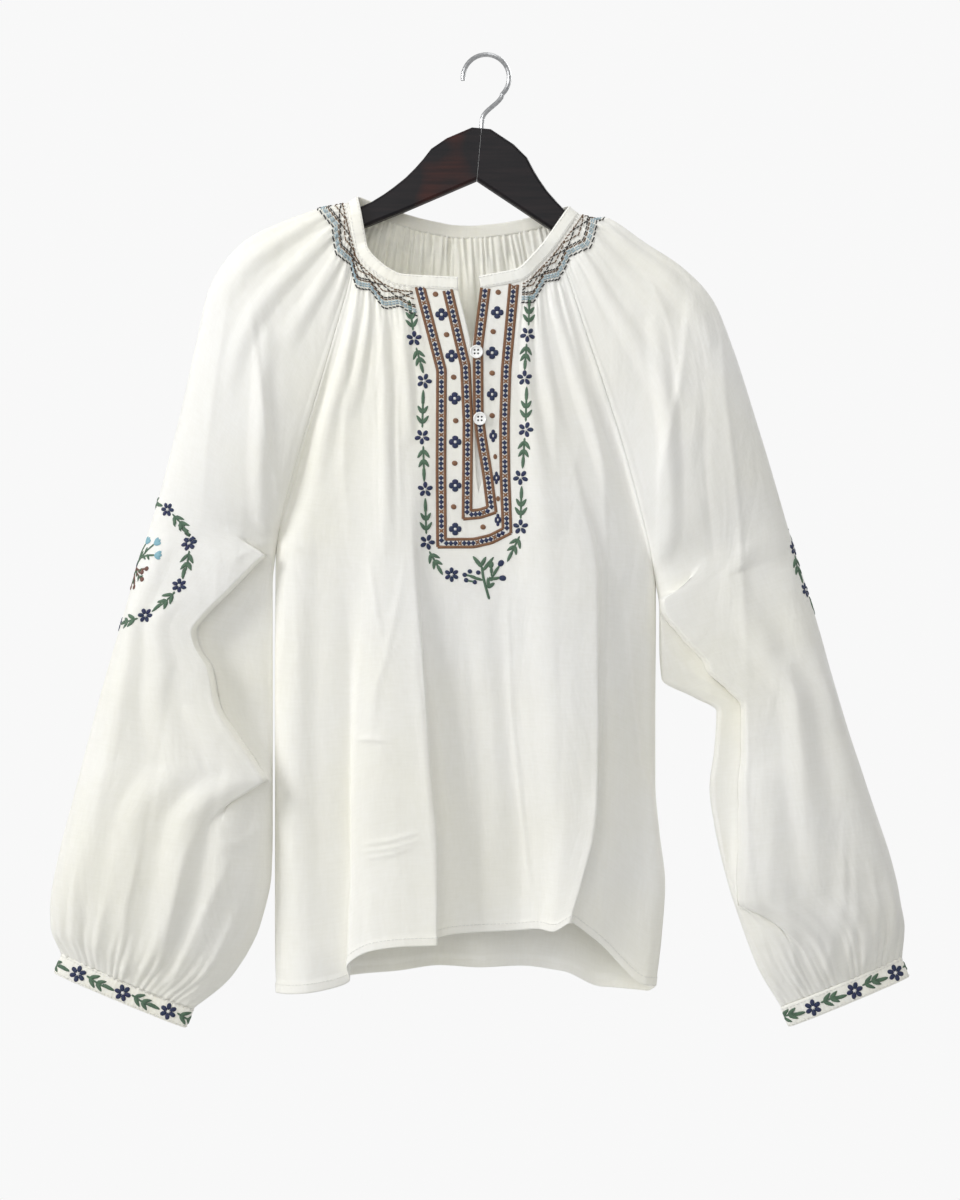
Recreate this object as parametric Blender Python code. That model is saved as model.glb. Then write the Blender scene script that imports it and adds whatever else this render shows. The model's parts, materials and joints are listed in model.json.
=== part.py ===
"""A gathered raglan blouse hanging on a two-armed wooden hanger.

Lengths are in millimetres until a mesh is made. The tables are read as the front
is seen: x runs to the viewer's right, drop runs down from the inner top of the
hook's crown, and depth runs away from the viewer, so the front is negative.
Left and right are the viewer's.
"""
import functools
import math

import bmesh
import bpy
import numpy as np

MM = 0.001

# Cloth sizes
CLOTH = 1.0           # thickness of the cloth wall
DOUBLED = 2.0         # thickness of the folded neckband and cuffs
SEAM_PULL = 0.17      # how far each piece stops short of its seam
ARMPIT_STEP = 1.0     # how far body and sleeve each stand back where they meet below the arm
BAND_GAP = 0.4        # from a gathered edge to the band that holds it
NECKBAND_HEIGHT = 10.0
BAND_LIFT = 0.7       # how much more steeply than the cloth the neckband rises
CUFF_HEIGHT = 17.5
CUFF_COLUMNS = 44

# Columns of the panels, and how many gathers each neck edge carries
LEFT_GATHERS = 13
PLACKET_HALF = 4
RIGHT_GATHERS = 10
SLEEVE_COLUMNS = 22
BACK_COLUMNS = 28
CENTRE = LEFT_GATHERS + PLACKET_HALF
FRONT_COLUMNS = CENTRE + PLACKET_HALF + RIGHT_GATHERS
NECK_SPLIT = 3        # strips per column in the neck gathers, one wave
CUFF_SPLIT = 4        # strips per column in the cuff gathers, two waves
NECK_WAVE = 0.8       # half height of a neck gather
CUFF_WAVE = 1.1       # half height of a cuff gather

# Places along a piece: 0 at the neck, 1 level with the armpit, 2 at the lower edge
SLIT_END = 0.75
NECK_ROWS = (0.0, 0.045, 0.10)
RAGLAN_ROWS = (0.17, 0.26, 0.36, 0.46, 0.56, 0.66, SLIT_END, 0.84, 0.92, 1.0)
BODY_ROWS = tuple(1.0 + k / 9 for k in range(1, 10))
TUBE_ROWS = (1.06, 1.12, 1.19, 1.26, 1.33, 1.40, 1.47, 1.54, 1.61, 1.68, 1.75, 1.82, 1.88, 1.94)
CUFF_ROWS = (1.97, 2.0)

# Buttons
BUTTON_RADIUS = 5.75
BUTTON_HOLE = 0.7
BUTTON_PITCH = 1.35   # from the button's centre to each hole, along x and drop
BUTTON_EDGE = ((0.5, 0), (0, 0.5), (0, 1.6), (0.6, 2.2), (1.2, 2.2), (2.0, 1.5))   # in from the edge, up
SEAT_REACH = 14.0     # the cloth this near a button holds it off
SEAT_GAP = 0.3
CUTTER_DEPTH = 8.0    # longer than the button is thick
BUTTONS = {"button_upper": (-10.0, 258.0), "button_lower": (-7.0, 315.0)}

# Hanger
HANGER_TILT = math.radians(5.2)   # the right arm hangs lower
PEAK_DROP = 107.7     # from the crown to the middle of the arms' lower edge
ARM_THICK = 14.0
ARM_EDGE = 2.5        # rounding of the arms' long edges
JOINT_GAP = 0.3       # between the two arms
WIRE = 4.0
HOOK_RADIUS = 20.0    # to the middle of the wire
HOOK_SHANK = 9.0
HOOK_SEAT = 0.3       # how far the wire ends above the wood
HOOK_JOIN = math.radians(-40)     # where the bend from the shank meets the round crown
HOOK_SWEEP = math.radians(232)    # how far round the crown goes
BEND_STEPS, CROWN_STEPS = 8, 23


def table(names, *rows):
    """A table with named columns, as one array for each name."""
    return dict(zip(names.split(), np.array(rows, float).T))


SLEEVE_NAMES = ("place outer_x outer_drop front_x front_drop front_depth "
                "back_x back_drop back_depth bulge close")
SLEEVES = {
    "left": table(
        SLEEVE_NAMES,
        (0.00, -121, 127, -114, 167, -16, -89, 139, 13, 0, 0),
        (0.15, -150, 133, -120, 200, -19, -97, 172, 16, 0, 0),
        (0.30, -183, 145, -131, 240, -22, -107, 212, 18, 0, 0),
        (0.45, -216, 165, -143, 282, -24, -119, 254, 19, 3, 0),
        (0.60, -241, 201, -156, 325, -24, -135, 300, 20, 8, 0.25),
        (0.75, -253, 258, -167, 362, -22, -150, 345, 18, 15, 0.5),
        (0.90, -271, 335, -178, 400, -12, -172, 395, 10, 22, 0.85),
        (1.00, -288, 396, -183, 422, 0, -183, 422, 0, 25, 1),
        (1.12, -300, 430, -187, 458, 0, -187, 458, 0, 27, 1),
        (1.25, -313, 475, -187, 500, 0, -187, 500, 0, 28, 1),
        (1.40, -328, 528, -187, 553, 0, -187, 553, 0, 31, 1),
        (1.55, -343, 585, -187, 610, 0, -187, 610, 0, 35, 1),
        (1.70, -358, 643, -187, 665, 0, -187, 665, 0, 38, 1),
        (1.80, -368, 683, -188, 706, 0, -188, 706, 0, 38, 1),
        (1.88, -375, 722, -198, 752, 0, -198, 752, 0, 33, 1),
        (1.94, -377, 751, -222, 795, 0, -222, 795, 0, 22, 1),
        (2.00, -368, 776, -255, 823, 0, -255, 823, 0, 8, 1)),
    "right": table(
        SLEEVE_NAMES,
        (0.00, 78, 136, 59, 164, -16, 49, 144, 13, 0, 0),
        (0.15, 104, 143, 70, 197, -19, 60, 180, 16, 0, 0),
        (0.30, 135, 161, 85, 243, -22, 72, 222, 18, 0, 0),
        (0.45, 168, 182, 100, 288, -24, 88, 268, 19, 3, 0),
        (0.60, 194, 209, 115, 335, -24, 105, 318, 20, 8, 0.25),
        (0.75, 212, 252, 128, 381, -22, 120, 366, 18, 15, 0.5),
        (0.90, 236, 330, 140, 428, -12, 136, 422, 10, 22, 0.85),
        (1.00, 258, 405, 145, 452, 0, 145, 452, 0, 25, 1),
        (1.10, 268, 437, 149, 478, 0, 149, 478, 0, 26, 1),
        (1.20, 279, 470, 149, 508, 0, 149, 508, 0, 27, 1),
        (1.30, 289, 503, 151, 538, 0, 151, 538, 0, 28, 1),
        (1.36, 295, 525, 178, 553, 0, 178, 553, 0, 29, 1),
        (1.42, 302, 550, 199, 566, 0, 199, 566, 0, 30, 1),
        (1.50, 311, 582, 197, 598, 0, 197, 598, 0, 31, 1),
        (1.60, 322, 617, 193, 632, 0, 193, 632, 0, 34, 1),
        (1.70, 333, 652, 198, 668, 0, 198, 668, 0, 36, 1),
        (1.80, 346, 692, 208, 712, 0, 208, 712, 0, 37, 1),
        (1.88, 354, 724, 220, 750, 0, 220, 750, 0, 33, 1),
        (1.94, 359, 752, 234, 788, 0, 234, 788, 0, 22, 1),
        (2.00, 357, 779, 254, 822, 0, 254, 822, 0, 8, 1)),
}

# The long crease where the front of each sleeve folds back under the arm: how far
# across the sleeve it lies, and how much of the depth beyond it is pushed in.
UNDERARM_FOLDS = {
    "left": table(
        "place across pushed",
        (1.00, 0.83, 0), (1.03, 0.94, 0.4), (1.06, 0.88, 0.75), (1.09, 0.82, 0.85), (1.16, 0.68, 0.85),
        (1.24, 0.52, 0.85), (1.275, 0.475, 0.85), (1.31, 0.51, 0.85), (1.36, 0.61, 0.85),
        (1.44, 0.67, 0.85), (1.50, 0.79, 0.8), (1.56, 0.91, 0.7), (1.61, 0.98, 0.4), (1.72, 0.90, 0.05),
        (1.85, 0.83, 0), (2.0, 0.83, 0)),
    "right": table(
        "place across pushed",
        (1.00, 0.83, 0), (1.05, 0.97, 0.3), (1.09, 0.98, 0.7), (1.20, 0.84, 0.85), (1.30, 0.71, 0.85),
        (1.38, 0.75, 0.85), (1.43, 0.785, 0.85), (1.52, 0.78, 0.85), (1.70, 0.825, 0.85),
        (1.81, 0.93, 0.7), (1.87, 0.97, 0.3), (1.93, 0.90, 0.05), (2.0, 0.83, 0)),
}
FOLD_COLUMN = 7       # columns from the outer edge to that crease
FOLD_LIP = 0.02       # how far beyond the crease the pushed cloth starts, across the sleeve
FOLD_ROOM = 4.0       # least depth of the pushed cloth in front of the seam

# Side seams of the body, and the middle of the front where the slit is cut
SIDES = table(
    "place left right",
    (1.00, -183, 145), (1.06, -183.5, 145), (1.35, -184, 144.5), (1.50, -184, 144.5),
    (1.62, -184, 148), (1.75, -184, 153), (1.88, -184, 150), (2.00, -183, 145))
HEM_DROP = {"left": 809.0, "right": 803.0}     # at the side seams
MIDDLE_DROP = {"left": (204.0, 437.0, 754.0), "right": (203.0, 437.0, 754.0)}   # at places 0, 1, 2
MIDDLE = table(
    "place left_x right_x left_depth right_depth",
    (0.00, -26, -6, -27, -27), (0.12, -19, -9.5, -27.5, -28), (0.22, -14, -13.5, -27.5, -30),
    (0.32, -12, -13, -27.5, -30.2), (0.47, -11.5, -12, -27.5, -30), (0.58, -11, -7, -27.5, -28.5),
    (0.68, -10, -3.5, -27.5, -28), (0.75, -8, -8, -27.5, -27.5), (1.00, -8, -8, -28, -28),
    (1.45, 2, 2, -21, -21), (2.00, 4, 4, -15, -15))

# Each row is a line down the cloth, along a fold or between two
PANEL_NAMES = ("column neck_x neck_drop neck_depth yoke_x yoke_depth chest_x chest_depth "
               "waist_x waist_depth hem_x hem_drop hem_depth")
FRONT_LEFT = table(
    PANEL_NAMES,
    (1, -112.3, 171.7, -17, -136, -23, -177, -11, -179.5, -9, -178, 809, -9),
    (3, -106.7, 180, -19, -121, -24, -155, -24, -155, -20, -154, 807, -19),
    (5, -99.7, 187, -21, -105, -25, -124, -26, -119, -16, -119, 797, -9),
    (6, -96, 190, -22, -98, -26, -108, -29, -112, -26, -121, 784, -24),
    (7, -92, 193.4, -23, -91, -26, -96, -33, -98, -37, -102, 769, -37),
    (8, -87.5, 196, -24, -83, -27, -85, -35, -80, -41, -75, 764, -43),
    (10, -78.5, 200.3, -25, -68, -27, -65, -36, -52, -43, -44, 762, -46),
    (11, -74, 201, -25, -61, -27, -59, -32, -55, -31, -48, 760, -33),
    (12, -69, 201.6, -26, -53, -28, -52, -29, -46, -24, -41, 758, -22),
    (13, -63, 202, -26, -46, -28, -42, -28, -32, -22, -29, 756, -18),
    (15, -45, 203, -27, -29, -28, -26, -28, -16, -21, -13, 755, -15))
FRONT_RIGHT = table(
    PANEL_NAMES,
    (19, 12, 199.5, -26, 4, -28, 8, -28, 18, -23, 25, 753, -17),
    (21, 28, 196, -25, 20, -28, 24, -30, 38, -31, 43, 751, -24),
    (23, 35.4, 191.4, -24, 37, -27, 54, -37, 64, -41, 55, 752, -36),
    (25, 41.5, 184.7, -22, 53, -26, 92, -34, 93, -39, 69, 744, -42),
    (26, 44.6, 181.3, -21, 61, -26, 97, -27, 89, -27, 71, 745, -28),
    (28, 50.6, 174.7, -19, 76, -24, 115, -21, 108, -15, 96, 765, -15),
    (30, 56.4, 167.6, -17, 91, -23, 139, -11, 139, -9, 134, 801, -10))
BACK = table(
    PANEL_NAMES,
    (1, -84, 140.5, 14, -109, 20, -177, 10, -179.5, 9, -178, 808, 9),
    (3, -74.3, 143.5, 15.5, -95, 21, -152, 17, -152, 20, -152, 804, 20),
    (6, -59.5, 147.5, 17.5, -74, 21, -115, 20, -116, 25, -117, 798, 28),
    (9, -44.7, 150.5, 18.5, -52, 22, -80, 22, -80, 18, -79, 793, 17),
    (12, -29.9, 153, 19.5, -30, 22, -43, 23, -42, 27, -42, 790, 30),
    (15, -15.1, 153.5, 19.5, -9, 22, -7, 23, -7, 19, -7, 790, 17),
    (18, -0.3, 152.5, 19, 13, 22, 29, 23, 29, 26, 29, 790, 28),
    (21, 14.5, 151, 18, 34, 21, 64, 21, 64, 19, 64, 793, 18),
    (24, 29.3, 148.5, 16.5, 56, 21, 99, 19, 100, 24, 100, 808, 26),
    (27, 44, 145.2, 14, 78, 20, 139, 10, 139, 9, 138, 809, 9))
YOKE = 0.42
WAIST = 1.45

# Soft folds: each runs from one column and place to another, raised by its height
FOLD_NAMES = "from_column from_place to_column to_place half_width height"
SOFT_FOLDS = {
    "front": table(
        FOLD_NAMES,
        (2, 0.06, 2.6, 0.80, 1.2, 4), (4.4, 0.06, 4, 0.55, 1.1, 3.5), (7, 0.06, 8, 1.00, 1.2, 4.5),
        (10, 0.06, 10, 0.60, 1.2, 3.5), (22.5, 0.06, 23, 0.90, 1.1, 4), (25, 0.06, 25, 0.55, 1.1, 3.5),
        (28, 0.06, 28.6, 0.80, 1.2, 4), (3, 1.0, 3.4, 1.9, 1.4, -3), (17, 1.1, 17.4, 2.1, 2.0, 3),
        (28.4, 1.1, 28, 2.1, 1.2, 4)),
    "back": table(
        FOLD_NAMES,
        (3, 0.06, 3, 0.70, 1.2, 4), (7.5, 0.06, 7, 0.95, 1.2, 4.5), (12, 0.06, 12, 0.60, 1.2, 3.5),
        (16, 0.06, 16.4, 0.90, 1.2, 4.5), (20.5, 0.06, 21, 0.65, 1.2, 3.5),
        (25, 0.06, 25, 0.85, 1.2, 4)),
    "sleeve_left": table(
        FOLD_NAMES,
        (17, 0.50, 20.4, 0.98, 1.3, 4.5), (13.4, 0.06, 13, 0.60, 1.1, 3), (16, 0.06, 15.4, 0.75, 1.1, 3.5),
        (19, 0.06, 18.4, 0.50, 1.1, 3), (4, 0.06, 4, 0.60, 1.1, 3), (7, 0.06, 7.4, 0.75, 1.1, 3.5),
        (13, 1.00, 13, 1.96, 1.2, 4), (15.2, 1.20, 15, 1.98, 1.2, 4), (17, 1.45, 17.4, 1.97, 1.1, 4.5),
        (19.4, 1.60, 19, 1.98, 1.1, 4), (3, 1.20, 3, 1.98, 1.2, 4), (6, 1.00, 6.4, 1.96, 1.2, 4.5),
        (8.4, 1.50, 8.4, 1.98, 1.1, 3.5)),
    "sleeve_right": table(
        FOLD_NAMES,
        (16.4, 0.45, 20.4, 0.95, 1.3, 4.5), (13, 0.06, 13.4, 0.70, 1.1, 3.5), (15.4, 0.06, 15, 0.50, 1.1, 3),
        (18.4, 0.06, 18, 0.70, 1.1, 3.5), (4.4, 0.06, 4, 0.50, 1.1, 3), (7, 0.06, 7, 0.80, 1.1, 3.5),
        (12.6, 1.10, 13, 1.97, 1.2, 4), (15, 1.00, 15.2, 1.96, 1.2, 4.5), (17, 1.55, 17, 1.98, 1.1, 4),
        (19, 1.65, 19.4, 1.98, 1.1, 3.5), (2.6, 1.40, 3, 1.97, 1.2, 3.5), (5, 1.00, 5.4, 1.97, 1.2, 4.5),
        (8, 1.30, 8.4, 1.98, 1.1, 4)),
}

# Half outline of the hanger, out from its middle and down from the peak below it
ARM_TOP = table(
    "out drop",
    (0, -45), (8, -45), (29, -33.7), (35.9, -28), (41.5, -23.4), (47.6, -13.8), (53.6, -5.6),
    (61.2, 3.5), (70.9, 12.8), (78.7, 19.5), (88.7, 27), (97.7, 32), (120, 39.5), (140, 46),
    (165, 57), (182, 68), (194, 79), (200, 90))
ARM_BOTTOM = table(
    "out drop",
    (201, 96), (197, 99), (188, 95), (160, 81), (110, 58), (60, 32.5), (0, 0))


def along(rows, name, place, key="place"):
    """Reads a smooth curve through one column of a table, with no overshoot."""
    x, v = rows[key], rows[name]
    step = np.diff(x)
    slope = np.diff(v) / step
    tangent = np.zeros_like(v)
    tangent[0], tangent[-1] = slope[0], slope[-1]
    before, after = slope[:-1], slope[1:]
    turning = before * after > 0
    total = np.where(turning, before + after, 1.0)
    tangent[1:-1] = np.where(turning, 2 * before * after / total, 0.0)
    place = np.asarray(place, float)
    i = np.clip(np.searchsorted(x, place, side="right") - 1, 0, len(x) - 2)
    t = (place - x[i]) / step[i]
    return (v[i] * (1 + 2 * t) * (1 - t) ** 2 + v[i + 1] * t ** 2 * (3 - 2 * t)
            + step[i] * t * (1 - t) * (tangent[i] * (1 - t) - tangent[i + 1] * t))


@functools.lru_cache(maxsize=None)
def sleeve_row(side, place):
    """The sleeve's table read at a place. Below the armpit its two seams are one."""
    row = {name: float(along(SLEEVES[side], name, place)) for name in SLEEVE_NAMES.split()}
    if place >= 1:
        row.update(front_depth=0.0, back_depth=0.0, back_x=row["front_x"], back_drop=row["front_drop"])
    return row


def half_section(row, seam, turn):
    """Reach towards the seam (0 to 1) and depth, for an angle from the outer edge."""
    open_reach = 1 - np.cos(np.pi / 2 * turn)
    tube_reach = (1 - np.cos(np.pi * turn)) / 2
    reach = open_reach + (tube_reach - open_reach) * row["close"]
    depth = row[seam + "_depth"] * np.sin(np.pi / 2 * turn) ** 0.75
    belly = row["bulge"] * np.maximum(np.sin(np.pi * turn), 0) ** 0.8
    return reach, depth + (belly if seam == "back" else -belly)


@functools.lru_cache(maxsize=None)
def even_turns(side, seam, place):
    """Lengths along half of one row, so that its columns can be spaced evenly."""
    row = sleeve_row(side, place)
    turns = np.linspace(0, 1, 81)
    reach, depth = half_section(row, seam, turns)
    wide = math.hypot(row[seam + "_x"] - row["outer_x"], row[seam + "_drop"] - row["outer_drop"])
    length = np.concatenate(([0], np.cumsum(np.hypot(np.diff(reach) * wide, np.diff(depth)))))
    return length / length[-1], turns


def sleeve_point(side, column, place):
    """Middle of the sleeve's wall. Column 0 is the back seam and 22 the front one."""
    half = SLEEVE_COLUMNS / 2
    seam = "front" if column > half else "back"
    share = abs(column / half - 1)
    row = sleeve_row(side, place)
    turn = float(np.interp(share, *even_turns(side, seam, place)))
    reach, depth = half_section(row, seam, turn)
    if seam == "front" and place > 1:
        reach, depth = fold_under(side, place, share, reach, depth)
    x = row["outer_x"] + (row[seam + "_x"] - row["outer_x"]) * reach
    drop = row["outer_drop"] + (row[seam + "_drop"] - row["outer_drop"]) * reach
    return np.array((x, depth, drop))


def fold_under(side, place, share, reach, depth):
    """Moves one column of the sleeve onto the underarm crease and sets back the rest."""
    rows = UNDERARM_FOLDS[side]
    crease, behind = [2 * (FOLD_COLUMN + k) / SLEEVE_COLUMNS for k in (0, 1)]
    turns = np.interp((0, crease, behind, 1), *even_turns(side, "front", place))
    natural = (1 - np.cos(np.pi * turns)) / 2
    pushed = float(along(rows, "pushed", place))
    blend = min(1.0, pushed / 0.5)
    edge = natural[1] + (float(along(rows, "across", place)) - natural[1]) * blend
    lip = natural[2] + (edge + FOLD_LIP - natural[2]) * blend
    reach = float(np.interp(reach, natural, (0, edge, lip, 1)))
    if (crease + behind) / 2 < share < 1:
        depth = min(depth * (1 - pushed), -FOLD_ROOM)
    return reach, depth


@functools.lru_cache(maxsize=None)
def seam_point(side, seam, place):
    """A point on the raglan seam, or on the side seam below the armpit."""
    if place <= 1:
        return sleeve_point(side, 0 if seam == "back" else SLEEVE_COLUMNS, place)
    armpit = sleeve_point(side, 0, 1.0)
    x = float(along(SIDES, side, place))
    return np.array((x, 0.0, armpit[2] + (HEM_DROP[side] - armpit[2]) * (place - 1)))


def guide_point(guide, seam, place):
    """A point on one guide line of a body panel. Its x is read as a share of the way
    from one side to the other, so that it follows the seams."""
    armpits = [sleeve_point(side, 0, 1.0) for side in ("left", "right")]
    share = (guide["chest_x"] - armpits[0][0]) / (armpits[1][0] - armpits[0][0])
    chest_drop = armpits[0][2] + (armpits[1][2] - armpits[0][2]) * share
    yoke_drop = guide["neck_drop"] + (chest_drop - guide["neck_drop"]) * YOKE
    waist_drop = chest_drop + (guide["hem_drop"] - chest_drop) * (WAIST - 1)

    def share_at(level, x):
        left, right = (seam_point(side, seam, level)[0] for side in ("left", "right"))
        return (x - left) / (right - left)

    line = table(
        "place share depth drop",
        (0, share_at(0.0, guide["neck_x"]), guide["neck_depth"], guide["neck_drop"]),
        (YOKE, share_at(YOKE, guide["yoke_x"]), guide["yoke_depth"], yoke_drop),
        (1, share_at(1.0, guide["chest_x"]), guide["chest_depth"], chest_drop),
        (WAIST, share_at(WAIST, guide["waist_x"]), guide["waist_depth"], waist_drop),
        (2, share_at(2.0, guide["hem_x"]), guide["hem_depth"], guide["hem_drop"]))
    left, right = (seam_point(side, seam, place)[0] for side in ("left", "right"))
    x = left + (right - left) * along(line, "share", place)
    return np.array((x, along(line, "depth", place), along(line, "drop", place)))


def middle_point(edge, place):
    """A point on the middle line of the front, on one edge of the slit above its end."""
    drop = np.interp(place, (0, 1, 2), MIDDLE_DROP[edge])
    return np.array((along(MIDDLE, edge + "_x", place), along(MIDDLE, edge + "_depth", place), drop))


def panel_row(guides, seam, ends, place):
    """The guide points of one row, as a table read by column."""
    first, last = ends
    count = len(guides["column"])
    points = [guide_point({n: guides[n][i] for n in guides}, seam, place) for i in range(count)]
    columns = [first[0], *guides["column"], last[0]]
    points = [first[1], *points, last[1]]
    return table("column x depth drop", *[(c, *p) for c, p in zip(columns, points)])


ROW_MEMORY = {}


def body_point(panel, column, place, cell):
    """Middle of the wall of the front or back panel."""
    half = "left" if cell < CENTRE else "right"
    key = (panel, half if panel == "front" else "", place)
    if key not in ROW_MEMORY:
        if panel == "back":
            ends = ((0, seam_point("left", "back", place)),
                    (BACK_COLUMNS, seam_point("right", "back", place)))
            ROW_MEMORY[key] = panel_row(BACK, "back", ends, place)
        elif half == "left":
            ends = ((0, seam_point("left", "front", place)), (CENTRE, middle_point("left", place)))
            ROW_MEMORY[key] = panel_row(FRONT_LEFT, "front", ends, place)
        else:
            ends = ((CENTRE, middle_point("right", place)),
                    (FRONT_COLUMNS, seam_point("right", "front", place)))
            ROW_MEMORY[key] = panel_row(FRONT_RIGHT, "front", ends, place)
    row = ROW_MEMORY[key]
    return np.array([along(row, name, column, "column") for name in ("x", "depth", "drop")])


def front_point(column, place, cell=0):
    return body_point("front", column, place, cell)


def back_point(column, place, cell=0):
    return body_point("back", column, place, cell)


def left_sleeve_point(column, place, cell=0):
    return sleeve_point("left", column, place)


def right_sleeve_point(column, place, cell=0):
    return sleeve_point("right", column, place)


def band_way(point, column, place, cell):
    """Direction in which the neckband or the cuff carries on from a gathered edge."""
    line = point(column + 0.1, place, cell) - point(column - 0.1, place, cell)
    if place == 0:
        way = point(column, 0.0, cell) - point(column, 0.03, cell)
        way = way / np.linalg.norm(way) + np.array((0.0, 0.0, -BAND_LIFT))
    else:
        edge = point(0, place, cell) - point(SLEEVE_COLUMNS / 2, place, cell)
        way = np.array((-edge[2], 0.0, edge[0]))
        way = way * np.sign(way[2])
    line = line / np.linalg.norm(line)
    way = way - line * way.dot(line)
    return way / np.linalg.norm(way)


def gather_wave(column, place, gathered):
    """Height of the fine gathers beside the neckband and the cuffs."""
    if place < RAGLAN_ROWS[0] and gathered:
        strip = round(column * NECK_SPLIT) % NECK_SPLIT
        size = NECK_WAVE * (0.6 if place == 0 else 1.0)
        return size * (0, 1, -1)[strip]
    if place > TUBE_ROWS[-1]:
        strip = round(column * CUFF_SPLIT) % 2
        size = CUFF_WAVE * (0.7 if place == 2 else 1.0)
        return size * (1, -1)[strip]
    return 0.0


def soft_fold(name, column, place, columns):
    """Height of the long soft folds, none at the seams."""
    rows = SOFT_FOLDS[name]
    height = 0.0
    for i in range(len(rows["height"])):
        first, last = rows["from_place"][i], rows["to_place"][i]
        share = (place - first) / (last - first)
        if not 0 < share < 1:
            continue
        line = rows["from_column"][i] + (rows["to_column"][i] - rows["from_column"][i]) * share
        off = abs(column - line) / rows["half_width"][i]
        if off < 1:
            height += rows["height"][i] * math.cos(off * math.pi / 2) ** 2 * math.sin(math.pi * share) ** 0.6
    return height * min(1.0, column, columns - column)


class Panel:
    """One cut piece of cloth: the middle surface of its wall as triangles."""

    def __init__(self, point, splits, rows, lift, flip):
        self.points, self.lifts, self.rims, self.faces, self.known = [], [], [], [], {}
        self.point, self.lift, self.flip, self.is_sleeve = point, lift, flip, False
        for upper, lower in zip(rows[:-1], rows[1:]):
            for cell, split in enumerate(splits):
                self.stitch(self.strip(upper, cell, split), self.strip(lower, cell, split))
        self.points = np.array(self.points)
        self.lifts = np.array(self.lifts)
        self.rims = np.array(self.rims)
        self.faces = np.array(self.faces)

    def strip(self, place, cell, split):
        """Vertices of one row inside one column."""
        count = 1
        if place < RAGLAN_ROWS[0]:
            count = split[0]
        elif place > TUBE_ROWS[-1] and split[1]:
            count = split[1]
        ids = []
        for k in range(count + 1):
            column = cell + k / count
            spot = self.point(column, place, cell)
            key = tuple(np.round(spot, 3))
            if key not in self.known:
                self.known[key] = len(self.points)
                self.points.append(spot)
                self.lifts.append(self.lift(column, place, split))
                on_band = place == 0 or (place == 2 and split[1])
                self.rims.append(band_way(self.point, column, place, cell) if on_band else (0, 0, 0))
            ids.append(self.known[key])
        return ids

    def stitch(self, a, b):
        """Fills the space between two runs of vertices with triangles."""
        i = j = 0
        while i < len(a) - 1 or j < len(b) - 1:
            if len(a) == len(b):
                spots = self.points
                one = np.linalg.norm(spots[a[i]] - spots[b[j + 1]])
                other = np.linalg.norm(spots[a[i + 1]] - spots[b[j]])
                if one < other:
                    self.add(a[i], b[j], b[j + 1])
                    self.add(a[i], b[j + 1], a[i + 1])
                else:
                    self.add(a[i], b[j], a[i + 1])
                    self.add(a[i + 1], b[j], b[j + 1])
                i, j = i + 1, j + 1
            elif (i + 0.5) / (len(a) - 1) < (j + 0.5) / (len(b) - 1):
                self.add(a[i], b[j], a[i + 1])
                i += 1
            else:
                self.add(a[i], b[j], b[j + 1])
                j += 1

    def add(self, a, b, c):
        if len({a, b, c}) == 3:
            self.faces.append((a, c, b) if self.flip else (a, b, c))


def face_normals(panel):
    a, b, c = (panel.points[panel.faces[:, k]] for k in range(3))
    return np.cross(b - a, c - a)


def set_shared_normals(panels, armpits):
    """Gives each vertex the mean normal of all the cloth that meets there, square to
    the band where the edge is sewn to one. At the armpit the body and the sleeve face
    each other, so each has its own normal and steps back from the other."""
    sums, rims = {}, {}
    for panel in panels:
        panel.keys = [tuple(np.round(p, 2)) for p in panel.points]
        for key, rim in zip(panel.keys, panel.rims):
            rims[key] = rims.get(key, 0) + rim
        for face, normal in zip(panel.faces, face_normals(panel)):
            for vertex in face:
                key = panel.keys[vertex]
                sums[key] = sums.get(key, 0) + normal
    for key, rim in rims.items():
        size = np.linalg.norm(rim)
        if size > 0:
            sums[key] = sums[key] - rim / size * sums[key].dot(rim / size)
    for panel in panels:
        panel.steps = np.zeros_like(panel.points)
        normals = np.array([sums[key] for key in panel.keys])
        for vertex, key in enumerate(panel.keys):
            if key in armpits:
                facing = armpits[key] * (-1 if panel.is_sleeve else 1)
                normals[vertex] = (facing, 0, 0.3)
                panel.steps[vertex] = (-facing * ARMPIT_STEP, 0, 0)
        panel.normals = normals / np.linalg.norm(normals, axis=1)[:, None]


def border(faces):
    """Edges that belong to one face only, in that face's direction."""
    edges = {}
    for face in faces:
        for k in range(3):
            edge = (face[k], face[(k + 1) % 3])
            edges[edge] = face[(k + 2) % 3]
    return {edge: third for edge, third in edges.items() if edge[::-1] not in edges}


def seam_shift(panel, edges):
    """Moves every border vertex into its own piece, square to the edges it is on."""
    inward = {}
    for (a, b), third in edges.items():
        line = panel.points[b] - panel.points[a]
        line = line / np.linalg.norm(line)
        away = panel.points[third] - panel.points[a]
        away = away - line * away.dot(line)
        away = away / np.linalg.norm(away)
        inward.setdefault(a, []).append(away)
        inward.setdefault(b, []).append(away)
    shift = np.zeros_like(panel.points)
    for vertex, ways in inward.items():
        total = sum(ways)
        spread = max(0.6, 1 + (ways[0].dot(ways[1]) if len(ways) == 2 else 1))
        shift[vertex] = total / spread * SEAM_PULL
    return shift


def thicken(panel, thickness=CLOTH):
    """Vertices and faces of the closed wall around a panel's middle surface."""
    edges = border(panel.faces)
    middle = panel.points + panel.steps + seam_shift(panel, edges)
    outer = middle + panel.normals * thickness / 2
    inner = middle - panel.normals * thickness / 2
    count = len(middle)
    faces = [tuple(f) for f in panel.faces]
    faces += [(f[0] + count, f[2] + count, f[1] + count) for f in panel.faces]
    for a, b in edges:
        faces += [(b, a, a + count), (b, a + count, b + count)]
    return np.vstack((outer, inner)), faces


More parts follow.
